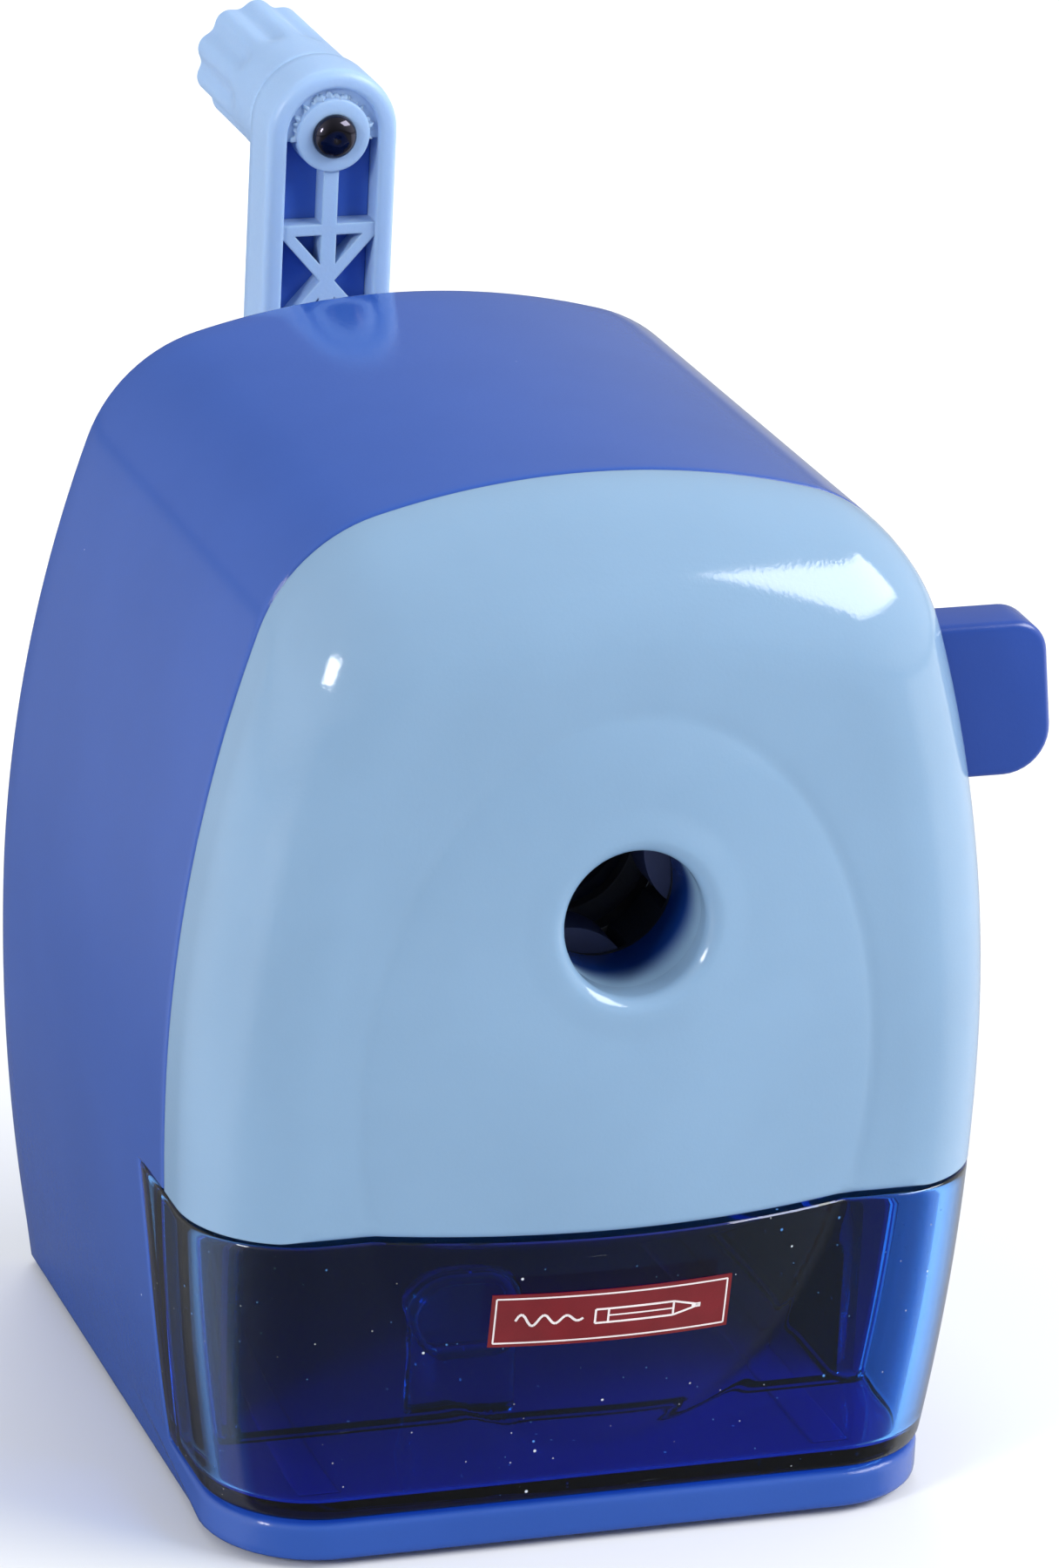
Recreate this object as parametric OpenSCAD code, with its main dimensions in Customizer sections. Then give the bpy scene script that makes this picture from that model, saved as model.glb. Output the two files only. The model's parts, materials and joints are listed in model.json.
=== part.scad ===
// Desk pencil sharpener with a hand crank, a spring-fed pencil clamp and a clear shavings drawer.
// Frame: origin on the table under the middle of the body, +X to the right as seen from the
// front, +Y to the crank at the back, +Z up. Lengths are in millimetres, angles in degrees.

/* [Body] */
// Greatest width of the body
body_w = 80; // [78:0.5:82]
// Height of the body's crown above the table
body_h = 103.8; // [102:0.2:106]
// Depth of the body from its flat front to its back wall
body_d = 75.6; // [74:0.2:78]
// Wall thickness of the mouldings
wall = 2.2; // [1.8:0.1:2.4]
// Height at which the sides are widest
side_z = 44.1; // [42:0.1:46]
// Radius of the side arc below the widest point
low_r = 220.7; // [200:1:240]
// Radius of the side arc above the widest point
up_r = 146.7; // [140:0.5:155]
// Radius of the top corners
corner_r = 16.2; // [15.4:0.1:18]
// Radius of the crown arc
top_r = 79.4; // [75:0.5:85]

/* [Face plate] */
// Depth of the face plate from the flat front to the seam
plate_d = 15.1; // [14.6:0.1:16]
// Radius of the rolled side edges
edge_r = 10.9; // [9:0.1:12]
// Radius of the rolled top edge
crown_r = 14.5; // [13:0.1:14.5]
// Height of the face plate's lower edge
plate_z = 34.2; // [33:0.1:36]
// Half width of the oval dome
dome_a = 25.3; // [24:0.1:26]
// Half height of the oval dome
dome_b = 36.9; // [35:0.1:38]
// Height of the oval dome's middle
dome_z = 47.7; // [47:0.1:49]
// How far the dome stands out
dome_rise = 4.2; // [3:0.1:5]

/* [Pencil way] */
// Height of the pencil axis, which is also the crank's axis
pencil_z = 65; // [64:0.1:66]
// Diameter of the hole in the face plate
hole_d = 14; // [13:0.1:14.4]
// Distance from the flat front to the inner end of the hole's tube
tube_in = 7.5; // [7:0.1:8]
// How far the hole's lip stands in front of the flat front
lip_out = 4; // [3.6:0.1:4.4]
// Forward travel of the face plate and clamp
feed_travel = 26; // [10:1:26]

/* [Clamp] */
// Distance from the pencil axis to a jaw's tip at rest
jaw_gap = 4.8; // [4.6:0.1:4.9]
// Outward travel of each jaw
jaw_travel = 1.6; // [1:0.1:1.6]
// Travel of the release button
button_travel = 8; // [6:0.5:8]
// Distance from the pencil axis to the cam ring's lever pin
lever_r = 18; // [17.5:0.1:18.5]

/* [Drawer] */
// Height of the drawer's underside
drawer_z = 5; // [4.9:0.1:5.2]
// Clear height between the drawer and the face plate
drawer_gap = 0.4; // [0.3:0.1:0.6]
// Half width of the tray behind the wrapped front
tray_half = 32.4; // [31:0.1:33]
// Depth of the front's wrap round the sides, measured from the flat front
wrap_d = 21.2; // [20:0.1:22]
// Extra depth of the wrap at its top corner
wrap_flare = 3; // [1:0.1:3.4]

/* [Crank] */
// Distance from the crank's axis to the grip's pin
crank_throw = 46.5; // [44:0.5:50]
// Width of the crank arm
arm_w = 13.8; // [13.7:0.1:15]
// Depth of the crank arm
arm_d = 7; // [6.6:0.1:8]
// Gap between the body's back wall and the crank arm
arm_gap = 22.4; // [20:0.1:24]
// Diameter of the grip
grip_d = 13.4; // [12:0.1:14]
// Length of the grip
grip_l = 21; // [18:0.5:26]
// Number of flutes round the grip
grip_flutes = 10; // [8:1:12]

/* [Cutter] */
// Tilt of the cutter's axis to the pencil axis, half the angle of the sharpened cone
tilt = 10; // [10:0.1:10.4]
// Outer radius of the helical cutter
cutter_r = 6.5; // [6.2:0.1:6.6]
// Teeth of the cutter's pinion
pinion_n = 16; // [16:1:16]
// Teeth of the fixed internal gear
ring_n = 28; // [28:1:28]
// Tooth module of both gears
gear_m = 0.8; // [0.8:0.1:0.8]

/* [Hidden] */

// Clearance of a shaft that turns in a bush, and the gap between neighbouring mouldings
run_gap = 0.05;
seam_gap = 0.2;
eps = 0.01;
far = 120;

// Places along Y: front to back
y_front = -body_d / 2;
y_back = body_d / 2;
y_seam = y_front + plate_d;
y_tube = y_front + tube_in;
y_clamp = y_tube + 0.1;
y_jaw = y_clamp + 0.8;
jaw_t = 4.6;
y_cam = y_jaw + jaw_t + 1.0;
cam_t = 2;
y_yoke = y_cam + cam_t + 0.4;
yoke_t = 2.4;
y_cover = y_yoke + yoke_t + 0.4;
cover_t = 1.4;
y_bulkhead = y_front + 23.3;
bulkhead_t = 3;
y_carrier = y_bulkhead + bulkhead_t + 0.9;
carrier_t = 3;
y_rear_disc = y_front + 64;
y_rear_plate = y_rear_disc + carrier_t + 0.8;
rear_plate_t = 3.4;

// Base
foot_h = 0.8;
lip_z = 4.6;
floor_t = 1.6;
foot_r = 5;
foot_x = 24;
foot_y = 26;
foot_band = 3;

// Shelf over the drawer
shelf_z = plate_z + 0.4;
shelf_t = 2;
frame_inset = wall + 2;

// Fastenings
rod_r = 2;
rod_x = 24;
rod_z = 52;
rod_end = y_rear_plate - 3;
screw_r = 1.2;
screw_head_r = 2.3;
ear_x = 21;
frame_screw_r = 1.5;
frame_screw_head_r = 3;
frame_screw_at = [[-22, 86], [22, 86], [-26, 42], [26, 42]];
ring_flange_r = 20.5;
ring_screw_circle = 18.3;

// Clamp
clamp_r = 17.6;
cam_r = 14.5;
jaw_angles = [15, 135, 255];
jaw_pin_at = 10.5;
jaw_w = 9.2;
jaw_pin_r = 1;
pin_play = 0.3;
cam_turn = button_travel / lever_r * 180 / PI;
lever_angle = 90 - cam_turn / 2;
lever_pin_r = 1.5;
cover_screw_circle = 16;
cover_screw_angles = [40, 195, 315];
yoke_z0 = pencil_z + 14;
yoke_z1 = pencil_z + 22;
yoke_left = -0.5;
yoke_right = 30.4;
tab_z0 = 72.1;
tab_z1 = 87.8;
tab_low_x = 46.1;
tab_high_x = 44.4;
tab_t = 5.8;
y_tab = y_front + 9.5;
button_spring_z = pencil_z + 18;
spring_stop_x = -14;

// Gears: the cutter's axis meets the gear plane gear_a above the pencil axis
pinion_r = gear_m * pinion_n / 2;
ring_r = gear_m * ring_n / 2;
gear_a = ring_r - pinion_r;
gear_y = y_rear_disc - 4.7;
pinion_t = 2.5;
axle_r = 1.5;
cutter_s0 = -27.5;
cutter_s1 = -3.2;

// Crank
y_arm = y_back + arm_gap;
pin_z = pencil_z + crank_throw;
arm_rim = 2;
arm_floor = 1.5;
shaft_r = 3;
bush_r = 5;
boss_r = 9;
boss_l = 11.8;
washer_t = 0.8;
y_washer = y_back + boss_l + 1.55;
pin_r = 2;
rib_t = 1.7;
pin_boss_r = 3.9;
hub_r = 6.8;
pin_head_r = 2.3;

// ---- Outline and shared shapes ----

// Points on an arc from angle a0 to a1, leaving out the first one when i0 is 1
function arc(c, r, a0, a1, n, i0 = 1) =
    [for (i = [i0 : n]) let (a = a0 + (a1 - a0) * i / n) c + r * [cos(a), sin(a)]];

// Upper crossing of two circles
function meet(c1, r1, c2, r2) =
    let (d = norm(c2 - c1), u = (c2 - c1) / d, a = (r1 * r1 - r2 * r2 + d * d) / (2 * d))
    c1 + a * u + sqrt(r1 * r1 - a * a) * [-u[1], u[0]];

// Right half of the body's outline in XZ, from the bottom at height zb up to the crown,
// drawn in by ts at the sides and tt at the top
function half_outline(ts, tt, zb) =
    let (
        low_c = [body_w / 2 - low_r, side_z],
        up_c = [body_w / 2 - up_r, side_z],
        top_c = [0, body_h - top_r],
        rc = corner_r - ts,
        cc = meet(up_c, up_r - ts - rc, top_c, top_r - tt - rc),
        a_up = atan2(cc[1] - up_c[1], cc[0] - up_c[0]),
        a_top = atan2(cc[1] - top_c[1], cc[0] - top_c[0])
    )
    concat(
        arc(low_c, low_r - ts, asin((zb - side_z) / (low_r - ts)), 0, 6, 0),
        arc(up_c, up_r - ts, 0, a_up, 8),
        arc(cc, rc, a_up, a_top, 8),
        arc(top_c, top_r - tt, a_top, 90, 6)
    );

function outline(ts, tt, zb) =
    let (h = half_outline(ts, tt, zb), n = len(h))
    concat(h, [for (i = [n - 2 : -1 : 0]) [-h[i][0], h[i][1]]]);

// How far a rounded edge of radius r has drawn in at depth u behind its front
function roll(r, u) = u < r ? r - sqrt(r * r - (r - u) * (r - u)) : 0;

// Depth of the drawer's wrap at height z, measured from the flat front
function wrap_at(z) = wrap_d + wrap_flare * pow((z - drawer_z) / (plate_z - drawer_z), 4);

// A plate drawn in XZ, from y0 to y1
module plate_y(y0, y1) {
    translate([0, y1, 0]) rotate([90, 0, 0]) linear_extrude(y1 - y0) children();
}

// A plate drawn in YZ, from x0 to x1
module plate_x(x0, x1) {
    translate([x0, 0, 0]) rotate([90, 0, 90]) linear_extrude(x1 - x0) children();
}

// A round bar along Y
module bar_y(x, z, y0, y1, r) {
    translate([x, y1, z]) rotate([90, 0, 0]) cylinder(h = y1 - y0, r = r, $fn = 64);
}

// A round tube along Y
module tube_y(x, z, y0, y1, r_out, r_in) {
    difference() {
        bar_y(x, z, y0, y1, r_out);
        bar_y(x, z, y0 - 1, y1 + 1, r_in);
    }
}

// A box from one corner to the other
module block(a, b) {
    translate(a) cube(b - a);
}

// A solid through a row of closed outlines with the same number of points, each running
// anticlockwise as seen from the first outline's side
module loft(rings) {
    n = len(rings[0]);
    m = len(rings);
    polyhedron(
        points = [for (ring = rings) each ring],
        faces = concat(
            [[for (k = [n - 1 : -1 : 0]) k]],
            [for (j = [0 : m - 2], k = [0 : n - 1]) let (q = (k + 1) % n)
                each [[j * n + k, j * n + n + q, j * n + n + k], [j * n + k, j * n + q, j * n + n + q]]],
            [[for (k = [0 : n - 1]) (m - 1) * n + k]]
        )
    );
}

// The body's outer form from its rolled front back to y1, drawn in by t, cut off below zb
module envelope(t, y1, zb = foot_h) {
    steps = 7;
    depth = plate_d - t;
    rings = [for (i = [0 : steps])
        let (u = depth * (1 - cos(90 * i / steps)))
        [for (p = outline(t + roll(edge_r - t, u), t + roll(crown_r - t, u), zb))
            [p[0], y_front + t + u, p[1]]]];
    back = [for (p = outline(t, t, zb)) [p[0], y1, p[1]]];
    loft(concat(rings, [back]));
}

// How far the oval dome stands in front of the flat front
function dome_at(x, z) = dome_rise * (1 - pow(x / dome_a, 2) - pow((z - dome_z) / dome_b, 2));

// The oval dome on the front, carried on a little way into the plate
module dome() {
    steps = 6;
    sides = 48;
    loft([for (i = [0 : steps])
        let (rho = 1.09 * cos(84 * i / steps))
        [for (k = [0 : sides - 1])
            [dome_a * rho * sin(360 * k / sides), y_front - dome_rise * (1 - rho * rho),
             dome_z + dome_b * rho * cos(360 * k / sides)]]]);
}

// Edge of the drawer's wrap in YZ between two heights, moved forward by gap
function wrap_edge(z0, z1, gap) =
    [for (i = [0 : 8])
        let (z = z0 + (z1 - z0) * i / 8)
        [y_front + wrap_at(max(z, drawer_z)) - gap, z]];

// Half width of the body at height z below the widest point, drawn in by t
function side_x(z, t) = body_w / 2 - low_r + sqrt(pow(low_r - t, 2) - pow(side_z - z, 2));

// A coil along Z whose wire has radius w
module coil(r, w, length, turns) {
    linear_extrude(height = length, twist = -360 * turns, slices = turns * 10)
        translate([r, 0]) circle(r = w, $fn = 6);
}

// Four round feet joined into one piece by narrow bands
module feet_outline() {
    for (x = [-foot_x, foot_x], y = [-foot_y, foot_y]) translate([x, y]) circle(r = foot_r, $fn = 48);
    difference() {
        square([2 * foot_x + foot_band, 2 * foot_y + foot_band], center = true);
        square([2 * foot_x - foot_band, 2 * foot_y - foot_band], center = true);
    }
}

// ---- Fixed body ----

module housing() {
    color([0.25, 0.36, 0.66]) difference() {
        union() {
            difference() {
                envelope(0, y_back);
                plate_y(y_seam - 1, y_back - wall) polygon(outline(wall, wall, lip_z));
                // Open front above the base, with the notch for the drawer's wrap
                plate_x(-far, far) polygon(concat(
                    [[-far, lip_z]],
                    wrap_edge(lip_z, plate_z, 0),
                    [[y_seam + seam_gap, plate_z], [y_seam + seam_gap, far], [-far, far]]
                ));
                // Hollow under the base
                block([9 - body_w / 2, y_front + 5, 0], [body_w / 2 - 9, y_back - 5, lip_z - floor_t]);
            }
            // Pads for the feet
            for (x = [-foot_x, foot_x], y = [-foot_y, foot_y])
                translate([x, y, foot_h]) cylinder(h = lip_z - foot_h - 1, r = foot_r + 1.6, $fn = 48);
            // Runners that carry the drawer, and the ribs that guide its sides
            for (s = [-1, 1]) {
                block([s * 26 - 2, y_front + 6, lip_z - 1], [s * 26 + 2, y_back - 1, drawer_z - 0.15]);
                block([s * 35 - 2, y_front + wrap_d + 5, lip_z - 1], [s * 35 + 2, y_back - 1, lip_z + 5]);
            }
            // Boss that carries the crank's bush, with four ribs
            bar_y(0, pencil_z, y_back - 1, y_back + boss_l, boss_r);
            for (a = [45 : 90 : 315]) translate([0, 0, pencil_z]) plate_y(y_back - 1, y_back + boss_l - 4)
                rotate([0, 0, a]) translate([7, -0.9]) square([5, 1.8]);
        }
        bar_y(0, pencil_z, y_back - wall - 1, y_back + boss_l + 1, bush_r);
        for (p = frame_screw_at)
            bar_y(p[0], p[1], y_back - wall - 1, y_back + 1, frame_screw_r);
        linear_extrude(foot_h + 1) feet_outline();
    }
}

// Inner frame: a bulkhead, a rear plate and the shelf over the drawer, screwed to the back wall
module mechanism_frame() {
    color([0.32, 0.33, 0.36]) difference() {
        union() {
            plate_y(y_bulkhead, y_bulkhead + bulkhead_t) intersection() {
                polygon(outline(frame_inset, frame_inset, foot_h));
                translate([-far, shelf_z]) square([2 * far, far]);
            }
            plate_y(y_rear_plate, y_rear_plate + rear_plate_t) intersection() {
                polygon(outline(frame_inset + 2, frame_inset + 2, foot_h));
                translate([-far, shelf_z]) square([2 * far, far]);
            }
            difference() {
                block([-tray_half, y_bulkhead, shelf_z],
                      [tray_half, y_rear_plate + rear_plate_t, shelf_z + shelf_t]);
                block([-22, y_bulkhead + 8, shelf_z - 1], [22, y_rear_plate - 5, shelf_z + shelf_t + 1]);
            }
            for (p = frame_screw_at)
                bar_y(p[0], p[1], y_rear_plate + rear_plate_t - eps, y_back - wall, 3.6);
            for (s = [-1, 1])
                block([s * 30 - 1, y_bulkhead + 1, shelf_z + 1], [s * 30 + 1, y_rear_plate + 1, shelf_z + 8]);
        }
        bar_y(0, pencil_z, y_bulkhead - 1, y_bulkhead + bulkhead_t + 1, 6);
        bar_y(0, pencil_z, y_rear_plate - 1, y_rear_plate + rear_plate_t + 1, bush_r);
        for (s = [-1, 1]) bar_y(s * rod_x, rod_z, y_bulkhead - 1, y_bulkhead + bulkhead_t + 1, 3.5);
        for (p = frame_screw_at)
            bar_y(p[0], p[1], y_rear_plate + 0.6, y_back, screw_r);
        for (a = [30, 150, 270])
            bar_y(ring_screw_circle * cos(a), pencil_z + ring_screw_circle * sin(a),
                  y_rear_plate - 1, y_rear_plate + 2.6, 1);
    }
}

// A pan-head screw along +Y with its head's outer face at y, and its shank going to y_tip
module pan_screw(x, z, y, y_tip, shank_r, head_r, head_t) {
    side = y_tip < y ? -1 : 1;
    y_seat = y + side * head_t;
    difference() {
        union() {
            bar_y(x, z, min(y, y_seat), max(y, y_seat), head_r);
            bar_y(x, z, min(y_seat, y_tip), max(y_seat, y_tip), shank_r);
        }
        translate([x, y, z]) for (a = [0, 90]) rotate([0, a + 20, 0])
            cube([head_r * 1.2, head_t, 0.5], center = true);
    }
}

module frame_screws() {
    color("silver") for (p = frame_screw_at)
        pan_screw(p[0], p[1], y_back + 2, y_rear_plate + 1, screw_r, frame_screw_head_r, 2);
}

// Teeth of a gear as one closed polygon: r_a and r_b are the radii at the tooth's foot and tip,
// w_a and w_b its widths there
function teeth(n, r_a, w_a, r_b, w_b, turn) =
    [for (i = [0 : n - 1], k = [0 : 3])
        let (
            r = (k == 0 || k == 3) ? r_a : r_b,
            w = (k == 0 || k == 3) ? w_a : w_b,
            half = w / r * 90 / PI,
            a = turn + 360 * i / n + (k < 2 ? -half : half)
        )
        r * [cos(a), sin(a)]];

// Fixed internal gear that makes the cutter turn as its carrier goes round
module ring_gear() {
    tooth_y0 = gear_y - 1.1;
    tooth_y1 = gear_y + 3.4;
    color([0.85, 0.85, 0.82]) difference() {
        union() {
            bar_y(0, pencil_z, tooth_y0 - 0.9, y_rear_plate, 16);
            bar_y(0, pencil_z, y_rear_plate - 2, y_rear_plate, ring_flange_r);
        }
        translate([0, 0, pencil_z]) plate_y(tooth_y0 - 2, y_rear_plate + 1)
            polygon(teeth(ring_n, ring_r + 0.95, 1.66, ring_r - 0.55, 0.6, 90 + 180 / ring_n));
        bar_y(0, pencil_z, tooth_y1, y_rear_plate + 1, 13);
        bar_y(0, pencil_z, tooth_y0 - 2, tooth_y0, 12.6);
        for (a = [30, 150, 270])
            bar_y(ring_screw_circle * cos(a), pencil_z + ring_screw_circle * sin(a),
                  y_rear_plate - 3, y_rear_plate + 1, 1);
    }
}

module ring_screws() {
    color("silver") for (a = [30, 150, 270])
        pan_screw(ring_screw_circle * cos(a), pencil_z + ring_screw_circle * sin(a),
                  y_rear_plate - 3.4, y_rear_plate + 2.4, 1, 1.9, 1.4);
}

module shaft_bush() {
    color([0.72, 0.58, 0.30]) difference() {
        union() {
            bar_y(0, pencil_z, y_rear_plate + 0.4, y_back + boss_l, bush_r);
            bar_y(0, pencil_z, y_back + boss_l, y_back + boss_l + 1.4, 7.5);
        }
        bar_y(0, pencil_z, y_rear_plate, y_back + boss_l + 2, shaft_r + run_gap);
    }
}

// Funnel in the bulkhead that keeps the pencil on the axis
module pencil_guide() {
    color([0.2, 0.2, 0.22]) translate([0, y_bulkhead, pencil_z]) rotate([-90, 0, 0])
        rotate_extrude($fn = 64)
            polygon([[4.6, 0.4], [5.6, -0.7], [7.2, -0.7], [7.2, 0], [6, 0],
                     [6, bulkhead_t + 0.4], [4.6, bulkhead_t + 0.4]]);
}

module rod_bushes() {
    color([0.9, 0.9, 0.86]) for (s = [-1, 1]) difference() {
        union() {
            bar_y(s * rod_x, rod_z, y_bulkhead, y_bulkhead + bulkhead_t + 1.6, 3.5);
            bar_y(s * rod_x, rod_z, y_bulkhead - 0.8, y_bulkhead, 4.5);
        }
        bar_y(s * rod_x, rod_z, y_bulkhead - 2, y_bulkhead + bulkhead_t + 3, rod_r + run_gap);
    }
}

module rubber_feet() {
    color([0.12, 0.12, 0.13]) linear_extrude(foot_h + 1) feet_outline();
}

// ---- Drawer ----

module drawer() {
    top = plate_z - drawer_gap;
    tray_y0 = y_front + wrap_d - 3.2;
    tray_y1 = y_back - wall - 2.6;
    sheet = 1.6;
    color([0.08, 0.13, 0.42, 0.6]) {
        // Front and its wrap round the sides
        difference() {
            envelope(0, y_front + wrap_d + 9, drawer_z);
            envelope(wall, y_front + wrap_d + 12, drawer_z + sheet);
            plate_x(-far, far) polygon(concat(
                [[far, drawer_z - 1]],
                wrap_edge(drawer_z - 1, top, 0.35),
                [[-far, top], [-far, far], [far, far]]
            ));
            for (s = [-1, 1])
                block([s * 50 - 18, tray_y0 + sheet, 0], [s * 50 + 18, far, drawer_z + 1.7]);
        }
        intersection() {
            dome();
            block([-far, -far, drawer_z], [far, far, top]);
        }
        // Returns between the wrapped front and the tray
        for (s = [-1, 1]) scale([s, 1, 1]) plate_y(tray_y0, tray_y0 + sheet)
            polygon(concat(
                [[tray_half - 1, drawer_z]],
                [for (k = [0 : 4])
                    let (z = drawer_z + (top - 0.4 - drawer_z) * k / 4) [side_x(z, 1), z]],
                [[tray_half - 1, top - 0.4]]
            ));
        difference() {
            block([-tray_half, tray_y0, drawer_z], [tray_half, tray_y1, top - 0.4]);
            block([sheet - tray_half, tray_y0 - 1, drawer_z + sheet],
                  [tray_half - sheet, tray_y1 - sheet, far]);
        }
        // Tongue inside the front
        plate_y(y_front + 20, y_front + 20 + sheet) {
            translate([-13.3, drawer_z + 1]) square([11.7, 9.8]);
            translate([-7.45, drawer_z + 10.8]) circle(r = 5.85, $fn = 40);
        }
    }
}

// Sticker on the drawer, bent across and leaning back as the dome does there
module drawer_label() {
    label_w = 24;
    label_h = 5.1;
    label_x = -0.3;
    label_z = 25.6;
    label_t = 0.25;
    bend_r = dome_a * dome_a / 2 / dome_rise;
    half_angle = asin(label_w / 2 / bend_r);
    lean = atan(2 * dome_rise * (dome_z - label_z) / dome_b / dome_b);
    color([0.62, 0.12, 0.17])
        translate([label_x, y_front - dome_at(0, label_z) - 0.05, label_z]) rotate([lean, 0, 0])
            translate([0, bend_r, 0]) rotate([0, 0, -90 - half_angle])
                rotate_extrude(angle = 2 * half_angle, $fn = 200)
                    translate([bend_r, -label_h / 2]) square([label_t, label_h]);
}

// ---- Face plate and clamp, which slide forward together ----

module face_plate() {
    color([0.62, 0.78, 0.93]) difference() {
        union() {
            difference() {
                envelope(0, y_seam + 2, plate_z);
                envelope(wall, y_seam + 5, plate_z + 1.6);
                block([-far, y_seam - 0.1, 0], [far, far, far]);
            }
            intersection() {
                dome();
                block([-far, -far, plate_z], [far, far, far]);
            }
            // Tube and rounded lip of the pencil hole
            bar_y(0, pencil_z, y_front - 1, y_tube, hole_d / 2 + 2);
            bar_y(0, pencil_z, y_front - lip_out + 0.7, y_front, hole_d / 2 + 1.4);
            translate([0, y_front - lip_out + 0.7, pencil_z]) rotate([90, 0, 0])
                rotate_extrude($fn = 64) translate([hole_d / 2 + 0.7, 0]) circle(r = 0.7, $fn = 24);
            // Bosses for the guide rods and posts for the clamp
            for (s = [-1, 1]) {
                bar_y(s * rod_x, rod_z, y_front + 1, y_front + 9, 4.5);
                bar_y(s * ear_x, pencil_z, y_front + 1, y_clamp, 3.2);
            }
        }
        bar_y(0, pencil_z, y_front - far, y_tube + 1, hole_d / 2);
        for (s = [-1, 1]) {
            bar_y(s * rod_x, rod_z, y_front + 3, y_front + 12, rod_r);
            bar_y(s * ear_x, pencil_z, y_front + 3, y_clamp + 1, screw_r);
        }
        // Slot for the release button in the rear rim
        block([20, y_tab - 0.25, tab_z0 - 0.4], [far, y_seam + 1, tab_z1 + 0.4]);
    }
}

module guide_rods() {
    color("silver") for (s = [-1, 1]) bar_y(s * rod_x, rod_z, y_front + 3, rod_end, rod_r);
}

module rod_collars() {
    color([0.35, 0.35, 0.37]) for (s = [-1, 1])
        tube_y(s * rod_x, rod_z, rod_end - 3, rod_end - 1, 4.2, rod_r);
}

// Springs that draw the face plate back; they shorten as it comes forward
module feed_springs() {
    y0 = y_bulkhead + bulkhead_t + 1.9;
    color([0.7, 0.7, 0.72]) for (s = [-1, 1])
        translate([s * rod_x, y0, rod_z]) rotate([-90, 0, 0])
            coil(2.9, 0.45, rod_end - 3.3 - y0, 11);
}

module clamp_body() {
    color([0.16, 0.17, 0.2]) difference() {
        union() {
            bar_y(0, pencil_z, y_clamp, y_cam - 0.4, clamp_r);
            tube_y(0, pencil_z, y_cam - 0.5, y_cam + cam_t, clamp_r, cam_r + run_gap);
            for (s = [-1, 1])
                block([s * 19 - 5, y_clamp, pencil_z - 4], [s * 19 + 5, y_clamp + 2.8, pencil_z + 4]);
        }
        bar_y(0, pencil_z, y_clamp - 1, y_cam + 5, hole_d / 2 + 0.2);
        for (a = jaw_angles)
            translate([0, 0, pencil_z]) plate_y(y_jaw - 0.1, y_cam) rotate([0, 0, a])
                translate([0, -jaw_w / 2 - 0.15]) square([16.4, jaw_w + 0.3]);
        // Room for the cam ring's lever to swing
        translate([0, 0, pencil_z]) plate_y(y_cam - 0.4, y_cam + far)
            polygon([[0, 0], 30 * [cos(62), sin(62)], 30 * [cos(118), sin(118)]]);
        for (s = [-1, 1]) bar_y(s * ear_x, pencil_z, y_clamp - 1, y_clamp + 4, screw_r);
        for (a = cover_screw_angles)
            bar_y(cover_screw_circle * cos(a), pencil_z + cover_screw_circle * sin(a),
                  y_cam - 3.4, y_cam + far, 0.9);
    }
}

// Retaining plate behind the cam ring and the button's yoke, on three posts
module clamp_cover() {
    color([0.3, 0.31, 0.34]) difference() {
        union() {
            bar_y(0, pencil_z, y_cover, y_cover + cover_t, 15.2);
            for (a = cover_screw_angles)
                bar_y(cover_screw_circle * cos(a), pencil_z + cover_screw_circle * sin(a),
                      y_cam + cam_t, y_cover + cover_t, 2.1);
            block([spring_stop_x - 2, y_cover, pencil_z + 4],
                  [spring_stop_x + 5, y_cover + cover_t, button_spring_z + 3]);
            block([spring_stop_x - 2, y_yoke - 0.4, button_spring_z - 3],
                  [spring_stop_x, y_cover + cover_t, button_spring_z + 3]);
        }
        bar_y(0, pencil_z, y_cover - 1, y_cover + cover_t + 1, hole_d / 2 + 0.2);
        for (a = cover_screw_angles)
            bar_y(cover_screw_circle * cos(a), pencil_z + cover_screw_circle * sin(a),
                  y_cam, y_cover + 9, 0.9);
    }
}

module clamp_screws() {
    color("silver") for (a = cover_screw_angles)
        pan_screw(cover_screw_circle * cos(a), pencil_z + cover_screw_circle * sin(a),
                  y_cover + cover_t + 1.1, y_cam - 3.2, 0.9, 1.8, 1.1);
}

module plate_screws() {
    color("silver") for (s = [-1, 1])
        pan_screw(s * ear_x, pencil_z, y_clamp + 4.2, y_front + 3.4, screw_r, screw_head_r, 1.4);
}

// Spring that pushes the release button back out
module button_spring() {
    x0 = spring_stop_x + 0.2;
    color([0.7, 0.7, 0.72]) translate([x0, y_yoke + yoke_t / 2, button_spring_z])
        rotate([0, 90, 0]) coil(1.25, 0.3, yoke_left - 0.2 - x0, 8);
}

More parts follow.
